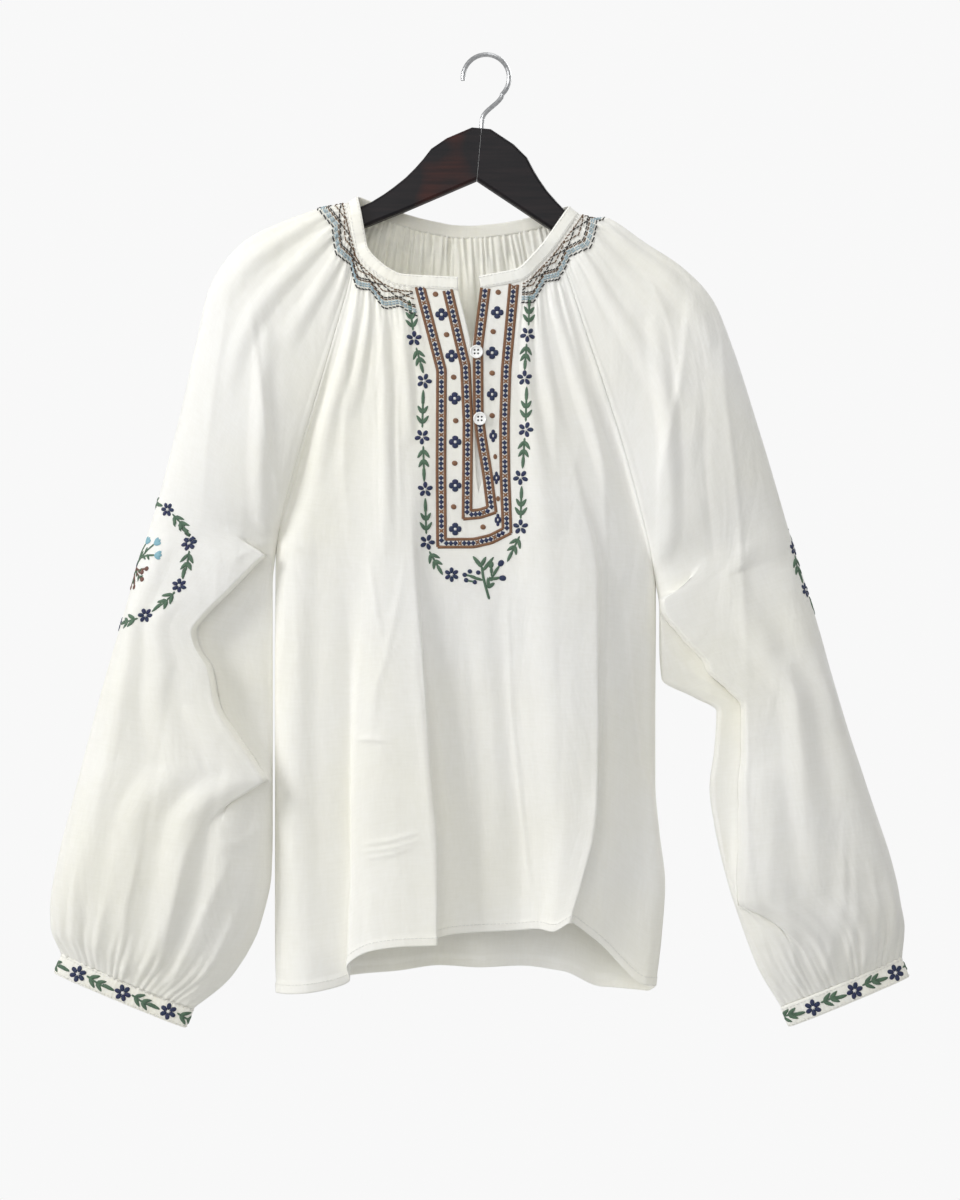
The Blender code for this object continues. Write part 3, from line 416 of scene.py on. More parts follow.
# %% The body's tables
SIDES = table(
    "place left right",
    (1.00, -183, 145), (1.06, -183.5, 145), (1.35, -184, 144.5), (1.50, -184, 144.5),
    (1.62, -184, 148), (1.75, -184, 153), (1.88, -184, 150), (2.00, -183, 145))
SIDE_HEMS = {"left": 809.0, "right": 803.0}
MIDDLE = table(
    "place left_x right_x left_depth right_depth",
    (0.00, -26, -6, -27, -27), (0.12, -19, -9.5, -27.5, -28), (0.22, -14, -13.5, -27.5, -30),
    (0.32, -12, -13, -27.5, -30.2), (0.47, -11.5, -12, -27.5, -30), (0.58, -11, -7, -27.5, -28.5),
    (0.68, -10, -3.5, -27.5, -28), (0.75, -8, -8, -27.5, -27.5), (1.00, -8, -8, -28, -28),
    (1.45, 2, 2, -21, -21), (2.00, 4, 4, -15, -15))
MIDDLE_NECK = {"left": 204.0, "right": 203.0}
MIDDLE_CHEST, MIDDLE_HEM = 437.0, 754.0
PANEL_NAMES = ("column neck_x neck_drop neck_depth yoke_x yoke_depth chest_x chest_depth "
               "waist_x waist_depth hem_x hem_drop hem_depth")
GUIDES = {
    "front_left": table(
        PANEL_NAMES,
        (1, -112.3, 171.7, -17, -136, -23, -177, -11, -179.5, -9, -178, 809, -9),
        (3, -106.7, 180, -19, -121, -24, -155, -24, -155, -20, -154, 807, -19),
        (5, -99.7, 187, -21, -105, -25, -124, -26, -119, -16, -119, 797, -9),
        (6, -96, 190, -22, -98, -26, -108, -29, -112, -26, -121, 784, -24),
        (7, -92, 193.4, -23, -91, -26, -96, -33, -98, -37, -102, 769, -37),
        (8, -87.5, 196, -24, -83, -27, -85, -35, -80, -41, -75, 764, -43),
        (10, -78.5, 200.3, -25, -68, -27, -65, -36, -52, -43, -44, 762, -46),
        (11, -74, 201, -25, -61, -27, -59, -32, -55, -31, -48, 760, -33),
        (12, -69, 201.6, -26, -53, -28, -52, -29, -46, -24, -41, 758, -22),
        (13, -63, 202, -26, -46, -28, -42, -28, -32, -22, -29, 756, -18),
        (15, -45, 203, -27, -29, -28, -26, -28, -16, -21, -13, 755, -15)),
    "front_right": table(
        PANEL_NAMES,
        (19, 12, 199.5, -26, 4, -28, 8, -28, 18, -23, 25, 753, -17),
        (21, 28, 196, -25, 20, -28, 24, -30, 38, -31, 43, 751, -24),
        (23, 35.4, 191.4, -24, 37, -27, 54, -37, 64, -41, 55, 752, -36),
        (25, 41.5, 184.7, -22, 53, -26, 92, -34, 93, -39, 69, 744, -42),
        (26, 44.6, 181.3, -21, 61, -26, 97, -27, 89, -27, 71, 745, -28),
        (28, 50.6, 174.7, -19, 76, -24, 115, -21, 108, -15, 96, 765, -15),
        (30, 56.4, 167.6, -17, 91, -23, 139, -11, 139, -9, 134, 801, -10)),
    "back": table(
        PANEL_NAMES,
        (1, -84, 140.5, 14, -109, 20, -177, 10, -179.5, 9, -178, 808, 9),
        (3, -74.3, 143.5, 15.5, -95, 21, -152, 17, -152, 20, -152, 804, 20),
        (6, -59.5, 147.5, 17.5, -74, 21, -115, 20, -116, 25, -117, 798, 28),
        (9, -44.7, 150.5, 18.5, -52, 22, -80, 22, -80, 18, -79, 793, 17),
        (12, -29.9, 153, 19.5, -30, 22, -43, 23, -42, 27, -42, 790, 30),
        (15, -15.1, 153.5, 19.5, -9, 22, -7, 23, -7, 19, -7, 790, 17),
        (18, -0.3, 152.5, 19, 13, 22, 29, 23, 29, 26, 29, 790, 28),
        (21, 14.5, 151, 18, 34, 21, 64, 21, 64, 19, 64, 793, 18),
        (24, 29.3, 148.5, 16.5, 56, 21, 99, 19, 100, 24, 100, 808, 26),
        (27, 44, 145.2, 14, 78, 20, 139, 10, 139, 9, 138, 809, 9)),
}
YOKE, WAIST = 0.42, 1.45

# %% The long soft folds that the solids also have
FOLD_NAMES = "from_column from_place to_column to_place half_width height"
SOFT_FOLDS = {
    "front": table(
        FOLD_NAMES,
        (2, 0.06, 2.6, 0.80, 1.2, 4), (4.4, 0.06, 4, 0.55, 1.1, 3.5), (7, 0.06, 8, 1.00, 1.2, 4.5),
        (10, 0.06, 10, 0.60, 1.2, 3.5), (22.5, 0.06, 23, 0.90, 1.1, 4), (25, 0.06, 25, 0.55, 1.1, 3.5),
        (28, 0.06, 28.6, 0.80, 1.2, 4), (3, 1.0, 3.4, 1.9, 1.4, -3), (17, 1.1, 17.4, 2.1, 2.0, 3),
        (28.4, 1.1, 28, 2.1, 1.2, 4)),
    "back": table(
        FOLD_NAMES,
        (3, 0.06, 3, 0.70, 1.2, 4), (7.5, 0.06, 7, 0.95, 1.2, 4.5), (12, 0.06, 12, 0.60, 1.2, 3.5),
        (16, 0.06, 16.4, 0.90, 1.2, 4.5), (20.5, 0.06, 21, 0.65, 1.2, 3.5),
        (25, 0.06, 25, 0.85, 1.2, 4)),
    "sleeve_left": table(
        FOLD_NAMES,
        (17, 0.50, 20.4, 0.98, 1.3, 4.5), (13.4, 0.06, 13, 0.60, 1.1, 3), (16, 0.06, 15.4, 0.75, 1.1, 3.5),
        (19, 0.06, 18.4, 0.50, 1.1, 3), (4, 0.06, 4, 0.60, 1.1, 3), (7, 0.06, 7.4, 0.75, 1.1, 3.5),
        (13, 1.00, 13, 1.96, 1.2, 4), (15.2, 1.20, 15, 1.98, 1.2, 4), (17, 1.45, 17.4, 1.97, 1.1, 4.5),
        (19.4, 1.60, 19, 1.98, 1.1, 4), (3, 1.20, 3, 1.98, 1.2, 4), (6, 1.00, 6.4, 1.96, 1.2, 4.5),
        (8.4, 1.50, 8.4, 1.98, 1.1, 3.5)),
    "sleeve_right": table(
        FOLD_NAMES,
        (16.4, 0.45, 20.4, 0.95, 1.3, 4.5), (13, 0.06, 13.4, 0.70, 1.1, 3.5), (15.4, 0.06, 15, 0.50, 1.1, 3),
        (18.4, 0.06, 18, 0.70, 1.1, 3.5), (4.4, 0.06, 4, 0.50, 1.1, 3), (7, 0.06, 7, 0.80, 1.1, 3.5),
        (12.6, 1.10, 13, 1.97, 1.2, 4), (15, 1.00, 15.2, 1.96, 1.2, 4.5), (17, 1.55, 17, 1.98, 1.1, 4),
        (19, 1.65, 19.4, 1.98, 1.1, 3.5), (2.6, 1.40, 3, 1.97, 1.2, 3.5), (5, 1.00, 5.4, 1.97, 1.2, 4.5),
        (8, 1.30, 8.4, 1.98, 1.1, 4)),
}

# %% [markdown]
# ## From the tables to lines across the cloth
# A sleeve is an open shell over the shoulder and closes to a tube at the armpit. Each of
# its rows is half an oval in front and half an oval behind, and the long crease under
# the arm pushes part of the front half in. A row of the body runs through guide points.

# %% Rows of a sleeve


@functools.lru_cache(maxsize=None)
def sleeve_row(side, place):
    """The sleeve's table read at one place. Below the armpit its two seams are one."""
    row = {name: float(along(SLEEVES[side], name, place)) for name in SLEEVE_NAMES.split()}
    if place >= 1:
        row.update(front_depth=0.0, back_depth=0.0, back_x=row["front_x"], back_drop=row["front_drop"])
    return row


def half_section(row, seam, turn):
    """Reach towards the seam (0 to 1) and depth, for an angle from the outer edge."""
    open_reach = 1 - np.cos(np.pi / 2 * turn)
    tube_reach = (1 - np.cos(np.pi * turn)) / 2
    reach = open_reach + (tube_reach - open_reach) * row["close"]
    depth = row[seam + "_depth"] * np.sin(np.pi / 2 * turn) ** SEAM_CURVE
    belly = row["bulge"] * np.maximum(np.sin(np.pi * turn), 0) ** BELLY_CURVE
    return reach, depth + (belly if seam == "back" else -belly)


@functools.lru_cache(maxsize=None)
def even_turns(side, seam, place):
    """Lengths along half of one row, so that its columns can be spaced evenly."""
    row = sleeve_row(side, place)
    turns = np.linspace(0, 1, TURN_STEPS)
    reach, depth = half_section(row, seam, turns)
    wide = math.hypot(row[seam + "_x"] - row["outer_x"], row[seam + "_drop"] - row["outer_drop"])
    length = from_zero(np.hypot(np.diff(reach) * wide, np.diff(depth)))
    return length / length[-1], turns


def fold_under(side, place, share, reach, depth):
    """Moves one column onto the underarm crease and sets back the cloth beyond it."""
    rows = UNDERARM_FOLDS[side]
    crease, behind = [2 * (FOLD_COLUMN + k) / SLEEVE_COLUMNS for k in (0, 1)]
    turns = np.interp((0, crease, behind, 1), *even_turns(side, "front", place))
    natural = (1 - np.cos(np.pi * turns)) / 2
    pushed = float(along(rows, "pushed", place))
    blend = min(1.0, pushed / FOLD_WHOLE)
    edge = natural[1] + (float(along(rows, "across", place)) - natural[1]) * blend
    lip = natural[2] + (edge + FOLD_LIP - natural[2]) * blend
    reach = np.interp(reach, natural, (0, edge, lip, 1))
    room = FOLD_ROOM * np.minimum(1, (1 - share) * SLEEVE_COLUMNS / 2)
    set_back = np.minimum(depth * (1 - pushed), -room)
    beyond = smooth_step(share, crease + FOLD_START * (behind - crease), behind)
    return reach, depth + (set_back - depth) * beyond * blend


def sleeve_line(side, columns, place):
    """Points of the sleeve's middle surface at some columns of one row."""
    columns = np.asarray(columns, float)
    half = SLEEVE_COLUMNS / 2
    row = sleeve_row(side, place)
    share = np.abs(columns / half - 1)
    line = np.zeros((len(columns), 3))
    for seam, mine in (("front", columns > half), ("back", columns <= half)):
        turn = np.interp(share[mine], *even_turns(side, seam, place))
        reach, depth = half_section(row, seam, turn)
        if seam == "front" and place > 1:
            reach, depth = fold_under(side, place, share[mine], reach, depth)
        line[mine, 0] = row["outer_x"] + (row[seam + "_x"] - row["outer_x"]) * reach
        line[mine, 1] = depth
        line[mine, 2] = row["outer_drop"] + (row[seam + "_drop"] - row["outer_drop"]) * reach
    return line


# %% Rows of the body


@functools.lru_cache(maxsize=None)
def seam_point(side, seam, place):
    """A point on the raglan seam, or on the side seam below the armpit."""
    if place <= 1:
        return sleeve_line(side, (0 if seam == "back" else SLEEVE_COLUMNS,), place)[0]
    armpit = sleeve_line(side, (0,), 1.0)[0]
    return np.array((along(SIDES, side, place), 0.0,
                     armpit[2] + (SIDE_HEMS[side] - armpit[2]) * (place - 1)))


@functools.lru_cache(maxsize=None)
def guide_line(part, i):
    """One guide line, with x as a share of the way from one side seam to the other."""
    guide = {name: rows[i] for name, rows in GUIDES[part].items()}
    seam = "back" if part == "back" else "front"
    armpits = [sleeve_line(side, (0,), 1.0)[0] for side in ("left", "right")]
    share = (guide["chest_x"] - armpits[0][0]) / (armpits[1][0] - armpits[0][0])
    chest_drop = armpits[0][2] + (armpits[1][2] - armpits[0][2]) * share
    yoke_drop = guide["neck_drop"] + (chest_drop - guide["neck_drop"]) * YOKE
    waist_drop = chest_drop + (guide["hem_drop"] - chest_drop) * (WAIST - 1)
    levels = (("neck", 0.0, guide["neck_drop"]), ("yoke", YOKE, yoke_drop), ("chest", 1.0, chest_drop),
              ("waist", WAIST, waist_drop), ("hem", 2.0, guide["hem_drop"]))
    rows = []
    for name, level, drop in levels:
        left, right = (seam_point(side, seam, level)[0] for side in ("left", "right"))
        rows.append((level, (guide[name + "_x"] - left) / (right - left), guide[name + "_depth"], drop))
    return table("place share depth drop", *rows)


def guide_point(part, i, place):
    """A point of one guide line, as x, depth and drop."""
    seam = "back" if part == "back" else "front"
    line = guide_line(part, i)
    left, right = (seam_point(side, seam, place)[0] for side in ("left", "right"))
    return (left + (right - left) * along(line, "share", place), along(line, "depth", place),
            along(line, "drop", place))


def middle_point(edge, place):
    """A point on the middle line of the front, on one edge of the slit above its end."""
    drop = np.interp(place, (0, 1, 2), (MIDDLE_NECK[edge], MIDDLE_CHEST, MIDDLE_HEM))
    return along(MIDDLE, edge + "_x", place), along(MIDDLE, edge + "_depth", place), drop


def body_line(part, columns, place):
    """Points of the front's left or right half, or of the back, along one row."""
    ends = {
        "front_left": ((0, seam_point("left", "front", place)), (CENTRE, middle_point("left", place))),
        "front_right": ((CENTRE, middle_point("right", place)),
                        (FRONT_COLUMNS, seam_point("right", "front", place))),
        "back": ((0, seam_point("left", "back", place)),
                 (BACK_COLUMNS, seam_point("right", "back", place))),
    }[part]
    spots = [guide_point(part, i, place) for i in range(len(GUIDES[part]["column"]))]
    places = [ends[0][0], *GUIDES[part]["column"], ends[1][0]]
    spots = [ends[0][1], *spots, ends[1][1]]
    row = table("column x depth drop", *[(c, *p) for c, p in zip(places, spots)])
    return np.stack([along(row, name, columns, "column") for name in ("x", "depth", "drop")], axis=1)


# %% [markdown]
# ## The bare sheets
# Each cut piece becomes a grid of points: rows down the cloth, close together at the
# gathers and at the hem, and columns across it. The front is two grids that meet below
# the slit. Nothing is folded or gathered yet.

# %% Grids of the cut pieces


def runs(*parts):
    """Places in runs of (from, to, steps), with 2 as the last."""
    return np.concatenate([np.linspace(a, b, n, endpoint=False) for a, b, n in parts] + [[2.0]])


BODY_PLACES = runs((0, 0.17, 22), (0.17, SLIT_END, 40), (SLIT_END, 1, 18), (1, 1.38, 28), (1.38, 1.5, 26),
                   (1.5, 1.63, 16), (1.63, 1.8, 36), (1.8, 1.976, 16), (1.976, 2, 6))
SLEEVE_PLACES = runs((0, 0.17, 22), (0.17, 1, 64), (1, 1.93, 96), (1.93, 2, 16))
BODY_FINE, SLEEVE_FINE = 7, 9


def fine_columns(first, last, fine):
    """Columns from first to last, with so many steps to each."""
    return np.linspace(first, last, (last - first) * fine + 1)


# Each sheet: the piece it belongs to, its columns, its rows, and which side is outside.
SHEETS = {
    "front_left": ("front", fine_columns(0, CENTRE, BODY_FINE), BODY_PLACES, 1),
    "front_right": ("front", fine_columns(CENTRE, FRONT_COLUMNS, BODY_FINE), BODY_PLACES, 1),
    "back": ("back", fine_columns(0, BACK_COLUMNS, BODY_FINE), BODY_PLACES, -1),
    "sleeve_left": ("sleeve_left", fine_columns(0, SLEEVE_COLUMNS, SLEEVE_FINE), SLEEVE_PLACES, 1),
    "sleeve_right": ("sleeve_right", fine_columns(0, SLEEVE_COLUMNS, SLEEVE_FINE), SLEEVE_PLACES, -1),
}


def bare_sheet(name):
    """Rows of points of one piece's middle surface."""
    piece, columns, places, _ = SHEETS[name]
    if piece.startswith("sleeve"):
        return np.array([sleeve_line(piece[7:], columns, float(p)) for p in places])
    return np.array([body_line(name, columns, float(p)) for p in places])


def outward(points, sign):
    """Unit vectors that point out of the garment, one for each point of a grid."""
    across = np.gradient(points, axis=1)
    down = np.gradient(points, axis=0)
    normal = np.cross(across, down) * sign
    size = np.linalg.norm(normal, axis=2, keepdims=True)
    return normal / np.maximum(size, 1e-9)


BARE = {name: bare_sheet(name) for name in SHEETS}
for name, points in BARE.items():
    print(name, "grid:", points.shape[0], "rows of", points.shape[1])

# %% [markdown]
# ## Gathers, folds and creases
# Gathers start as even tucks at the band and run out into long folds of uneven length.
# Soft folds are the same ones that the solids have. Creases are drawn one by one, each as
# a line on the picture with a height and a width on either side, so that one side can
# be steep and the other soft. All of them are heights along the outward direction.

# %% Gathers that run out into folds
# The tucks are sine waves across the columns. Slower sines with no common step make their
# size, reach and spacing uneven, and single folds are then added at random places.
SMOCKED_EDGE = (0.075, 0.15)
NECK_REACH, CUFF_REACH, RUN_OUT = 0.10, 0.05, 2.2


def gathers(columns, places, end, seed, longest, count, smocked):
    """Tucks at the neck (end 0) or at the cuff (end 2), low and even where they are smocked."""
    draw = np.random.default_rng(seed)
    away = np.abs(places - end)
    reach = NECK_REACH if end == 0 else CUFF_REACH
    per_column = 1 if end == 0 else 2
    if end == 2:
        size = 0.45 + 0.3 * np.sin(columns * 2.9 + seed)
        warp = 0.16 * np.sin(columns * 1.3) + 0.08 * np.sin(columns * 5.3)
    elif smocked:
        size, warp = 0.35, 0.06 * np.sin(columns * 2.3)
    else:
        uneven = 1 + 0.45 * np.sin(columns * 1.7 + seed) + 0.3 * np.sin(columns * 4.1)
        reach = reach * np.clip(uneven, 0.35, 2)
        warp = 0.22 * np.sin(columns * 1.1) + 0.10 * np.sin(columns * 3.7) + away * 2 * np.sin(columns * 0.8)
        size = 0.85 + 0.3 * np.sin(columns * 1.9)
    wave = np.sin(2 * np.pi * (columns * per_column + warp))
    total = size * wave * (1 - smooth_step(away, reach, reach * RUN_OUT))
    for _ in range(count):
        at = draw.uniform(0.4, columns.max() - 0.4)
        lean = draw.uniform(-0.5, 0.5)
        length = longest * draw.uniform(0.25, 1.0) ** 1.3
        height = draw.uniform(0.5, 2.3)
        share = away / length
        wide = (0.25 if end == 0 else 0.17) + 0.5 * np.clip(share, 0, 1)
        rise = smooth_step(share, 0.02, 0.25) * np.clip(1 - share, 0, 1) ** 1.1
        if smocked:
            rise = rise * smooth_step(away, *SMOCKED_EDGE)
        total = total + height * rise * np.exp(-((columns - at - lean * share) / wide) ** 2)
    return total


# %% Soft folds, as in the solids


def soft_folds(name, columns, places, width):
    """Heights of one piece's soft folds. They fade out at its two side edges."""
    rows = SOFT_FOLDS[name]
    height = np.zeros_like(columns)
    for i in range(len(rows["height"])):
        first, last = rows["from_place"][i], rows["to_place"][i]
        share = np.clip((places - first) / (last - first), 0, 1)
        line = rows["from_column"][i] + (rows["to_column"][i] - rows["from_column"][i]) * share
        off = np.clip(np.abs(columns - line) / rows["half_width"][i], 0, 1)
        height += rows["height"][i] * np.cos(off * np.pi / 2) ** 2 * np.sin(np.pi * share) ** 0.6
    return height * np.minimum(1, np.minimum(columns, width - columns))


# %% Creases drawn one by one
# Each line: height, width on its left, width on its right (mm), then its path in pixels.
CREASES = {
    "front": (
        (2.4, 6, 4, (342, 245), (322, 320), (300, 400)),
        (1.6, 4, 3, (330, 246), (306, 300), (285, 352)),
        (2.0, 5, 8, (362, 285), (349, 360), (345, 470), (352, 540)),
        (1.5, 4, 4, (388, 312), (376, 400), (378, 520)),
        (-1.4, 5, 5, (352, 270), (330, 352), (318, 470)),
        (1.3, 4, 4, (404, 318), (399, 420), (402, 560)),
        (2.0, 6, 4, (560, 292), (582, 380), (601, 470), (606, 560)),
        (1.5, 3, 4, (583, 262), (612, 330), (640, 410)),
        (1.4, 3, 3, (575, 280), (596, 352), (607, 420)),
        (1.2, 5, 5, (545, 312), (552, 400), (556, 520)),
        (1.3, 7, 2.5, (417, 600), (418, 665), (425, 731), (430, 796), (435, 861), (438, 927)),
        (1.8, 2.5, 6, (365, 600), (360, 703), (358, 778), (351, 890), (348, 962)),
        (1.7, 3, 2.2, (406, 566), (398, 610), (388, 655), (378, 689), (374, 732)),
        (1.4, 2.5, 2, (371, 560), (377, 600), (385, 646)),
        (1.3, 1.8, 1.8, (387, 664), (396, 650), (406, 634)),
        (2.0, 1.6, 2.4, (360, 738), (374, 737), (389, 739)),
        (0.9, 2, 2, (381, 741), (388, 760)),
        (1.5, 1.7, 1.7, (363, 841), (392, 836), (422, 827)),
        (1.5, 1.7, 1.7, (363, 848), (395, 843), (422, 834)),
        (1.2, 1.7, 1.7, (366, 855), (394, 849), (416, 841)),
        (0.8, 3, 3, (370, 870), (372, 905), (376, 940)),
        (1.6, 6, 2.5, (507, 590), (512, 705), (520, 783), (528, 861), (536, 914)),
        (1.6, 6, 2.2, (600, 590), (599, 691), (598, 772), (589, 838), (575, 890)),
        (-1.0, 2, 2, (606, 560), (606, 640), (604, 700)),
        (1.2, 2.5, 4, (601, 850), (600, 895), (599, 940)),
        (1.0, 6, 6, (300, 420), (296, 560), (304, 760)),
        (-1.2, 8, 8, (322, 520), (316, 700), (322, 930)),
        (1.2, 4, 3, (285, 560), (287, 630), (278, 690)),
        (1.2, 7, 7, (462, 640), (470, 760), (476, 900)),
        (-1.0, 6, 6, (556, 600), (560, 740), (556, 860)),
        (1.8, 3, 4, (625, 600), (632, 700), (640, 760), (651, 800), (661, 840)),
        (1.3, 2.2, 2.2, (654, 776), (659, 812), (664, 850)),
        (1.2, 3, 3, (633, 700), (636, 745), (642, 790)),
        (-1.0, 2, 2, (285, 541), (296, 560), (303, 590)),
        (1.1, 2, 2, (284, 541), (305, 548), (322, 560)),
        (1.0, 3, 3, (420, 640), (440, 720), (452, 840)),
    ),
    "sleeve_left": (
        (2.6, 7, 3, (251, 287), (262, 380), (283, 521)),
        (1.4, 3, 3, (240, 500), (262, 520), (283, 541)),
        (1.3, 2.5, 2.5, (236, 560), (262, 545), (283, 540)),
        (-1.0, 3, 3, (222, 520), (256, 528), (281, 539)),
        (1.8, 10, 10, (190, 262), (168, 400), (150, 560)),
        (1.6, 8, 6, (230, 300), (214, 420), (205, 520)),
        (1.2, 5, 5, (212, 285), (196, 360), (190, 440)),
        (1.2, 3, 3, (218, 600), (194, 628), (217, 673), (218, 708), (228, 729), (249, 756), (273, 785)),
        (1.4, 3, 3, (215, 846), (244, 838), (270, 823)),
        (-1.2, 3, 3, (205, 830), (222, 790), (226, 742)),
        (2.2, 5, 5, (155, 987), (174, 915), (189, 852), (208, 815)),
        (1.9, 4, 4, (169, 990), (197, 928), (233, 852)),
        (1.8, 4, 4, (100, 956), (104, 925), (112, 893)),
        (1.6, 4, 4, (122, 966), (132, 900), (150, 830)),
        (1.5, 4, 3, (80, 950), (78, 900), (88, 830)),
        (1.6, 5, 5, (188, 1002), (216, 950), (240, 905)),
        (1.7, 9, 9, (138, 640), (112, 760), (96, 880)),
        (-1.4, 8, 8, (180, 660), (160, 780), (140, 900)),
        (1.0, 4, 4, (196, 730), (206, 790), (228, 840)),
    ),
    "sleeve_right": (
        (2.6, 3, 7, (698, 288), (686, 310), (677, 383), (658, 475), (656, 560)),
        (1.8, 5, 4, (718, 310), (722, 400), (736, 520), (742, 640), (745, 700)),
        (1.2, 4, 4, (640, 262), (668, 330), (680, 420)),
        (-1.2, 5, 5, (700, 340), (702, 470), (716, 600)),
        (1.4, 3, 3, (658, 640), (690, 672), (742, 702)),
        (1.2, 3, 3, (664, 680), (700, 690), (742, 706)),
        (1.4, 3, 3, (745, 705), (739, 760), (742, 830), (752, 900), (776, 990)),
        (1.6, 8, 8, (782, 640), (796, 760), (800, 900)),
        (2.0, 5, 5, (818, 985), (836, 900), (838, 820)),
        (1.8, 4, 4, (842, 978), (850, 900), (846, 836)),
        (1.6, 4, 4, (868, 965), (872, 905), (862, 850)),
        (1.5, 4, 4, (888, 950), (888, 905), (880, 860)),
        (1.4, 4, 4, (795, 990), (790, 940), (776, 880)),
        (1.1, 4, 4, (690, 730), (706, 800), (735, 880)),
    ),
    "back": (
        (1.6, 5, 7, (380, 260), (360, 420), (352, 600)),
        (-1.3, 6, 6, (420, 250), (416, 420), (408, 640)),
        (1.5, 6, 5, (500, 250), (512, 430), (522, 620)),
        (1.3, 5, 5, (560, 262), (590, 420), (604, 600)),
        (1.4, 8, 8, (330, 560), (330, 740), (340, 930)),
        (-1.2, 8, 8, (450, 560), (446, 760), (452, 940)),
        (1.5, 8, 8, (540, 560), (552, 760), (548, 930)),
        (1.0, 3, 3, (560, 800), (600, 780), (630, 770)),
        (-0.9, 3, 3, (340, 700), (372, 712), (400, 704)),
    ),
}
CREST, CREST_ROUND = 1.35, 0.25


def crease(x, drop, height, left, right, path):
    """Height of one crease for each point: a crest along its path, gone a few widths away."""
    spots = [on_front(*p) for p in path]
    steps = [math.dist(a, b) for a, b in zip(spots[:-1], spots[1:])]
    nearest = np.full(x.shape, 1e9)
    side, share = np.zeros_like(x), np.zeros_like(x)
    passed = 0.0
    for a, b, step in zip(spots[:-1], spots[1:], steps):
        way = ((b[0] - a[0]) / step, (b[1] - a[1]) / step)
        t = np.clip((x - a[0]) * way[0] + (drop - a[1]) * way[1], 0, step)
        off_x, off_drop = x - a[0] - way[0] * t, drop - a[1] - way[1] * t
        off = np.hypot(off_x, off_drop)
        closer = off < nearest
        nearest = np.where(closer, off, nearest)
        side = np.where(closer, way[0] * off_drop - way[1] * off_x, side)
        share = np.where(closer, (passed + t) / sum(steps), share)
        passed += step
    wide = np.where(side > 0, left, right)
    taper = np.sin(np.pi * np.clip(share, 0.03, 0.97)) ** 0.6
    return height * np.exp(CREST * (CREST_ROUND - np.hypot(nearest / wide, CREST_ROUND))) * taper


# %% Adding the heights up
# A sleeve's creases begin between the columns FRONT_HALF. The same ones lie again behind
# those, moved and lower. A ridge marks each seam, and a groove the stitches of the hem.
LONGEST_FOLD = 0.62
TUCKS = {"front": 34, "back": 46, "sleeve_left": 34, "sleeve_right": 34, "cuff": 46}
FRONT_HALF = (10.8, 12.0)
BEHIND_MOVE, BEHIND_HEIGHT = (9, 22), 0.8
SEAM_RIDGE, SEAM_AWAY, SEAM_WIDE = 0.5, 0.28, 0.16
HEM_STARTS, HEM_THICKER = (1.974, 1.979), 0.55
HEM_GROOVE, GROOVE_PLACE, GROOVE_WIDE = 0.5, 1.9745, 0.0022


def drift(points, seed):
    """A slow, uneven wander of the cloth, as a sum of nine long waves, up to 2.5 mm high."""
    draw = np.random.default_rng(seed)
    total = np.zeros(points.shape[:2])
    for _ in range(9):
        way = draw.normal(0, 1, 3) * (1.0, 0.4, 0.55)
        total += np.sin(points @ way / draw.uniform(22, 60) + draw.uniform(0, 6.3))
    return total * 0.28


def heights(name):
    """How far each point of a sheet stands out from the bare surface."""
    piece, columns, places, _ = SHEETS[name]
    sleeve = piece.startswith("sleeve")
    width = {"front": FRONT_COLUMNS, "back": BACK_COLUMNS}.get(piece, SLEEVE_COLUMNS)
    c, p = np.meshgrid(columns, places)
    bare = BARE[name]
    seed = sorted(SHEETS).index(name)
    neck_tucks = gathers(c, p, 0, seed, LONGEST_FOLD, TUCKS[piece], piece != "back")
    total = soft_folds(piece, c, p, width) + drift(bare, len(piece) + 20)
    if piece == "front":
        flat = smooth_step(np.abs(c - CENTRE), PLACKET_HALF - 0.4, PLACKET_HALF + 0.8)
        flat = np.maximum(flat, smooth_step(p, 0.85, 1.05))
        total = total * flat + neck_tucks * flat
    else:
        total += neck_tucks
    if sleeve:
        total += gathers(c, p, 2, seed + 10, LONGEST_FOLD, TUCKS["cuff"], False)
    front_half = smooth_step(c, *FRONT_HALF) if sleeve else 1
    for height, left, right, *path in CREASES[piece]:
        total += crease(bare[..., 0], bare[..., 2], height, left, right, path) * front_half
    if sleeve:
        for height, left, right, *path in CREASES[piece]:
            moved = [(px + BEHIND_MOVE[0], py + BEHIND_MOVE[1]) for px, py in path]
            behind = crease(bare[..., 0], bare[..., 2], height, left, right, moved)
            total += BEHIND_HEIGHT * behind * (1 - front_half)
    edge = np.minimum(c, width - c)
    total *= smooth_step(edge, 0, 0.9)
    total += SEAM_RIDGE * np.exp(-((edge - SEAM_AWAY) / SEAM_WIDE) ** 2)
    if not sleeve:
        groove = np.exp(-((p - GROOVE_PLACE) / GROOVE_WIDE) ** 2)
        total += HEM_THICKER * smooth_step(p, *HEM_STARTS) - HEM_GROOVE * groove
    return total


# %% [markdown]
# ## Sewing the sheets up
# A grid operator makes each mesh, whose points are then moved to the folded sheet. The
# two halves of the front are merged below the slit. A Solidify modifier gives the voile
# a wall of half a millimetre.

# %% Folded sheets
FOLDED_POINTS = {}
for name in SHEETS:
    bare = BARE[name]
    FOLDED_POINTS[name] = bare + outward(bare, SHEETS[name][3]) * heights(name)[..., None]
joined = BODY_PLACES >= SLIT_END - 1e-9
seam_line = (FOLDED_POINTS["front_left"][joined, -1] + FOLDED_POINTS["front_right"][joined, 0]) / 2
FOLDED_POINTS["front_left"][joined, -1] = seam_line
FOLDED_POINTS["front_right"][joined, 0] = seam_line
OUTWARD = {name: outward(points, SHEETS[name][3]) for name, points in FOLDED_POINTS.items()}


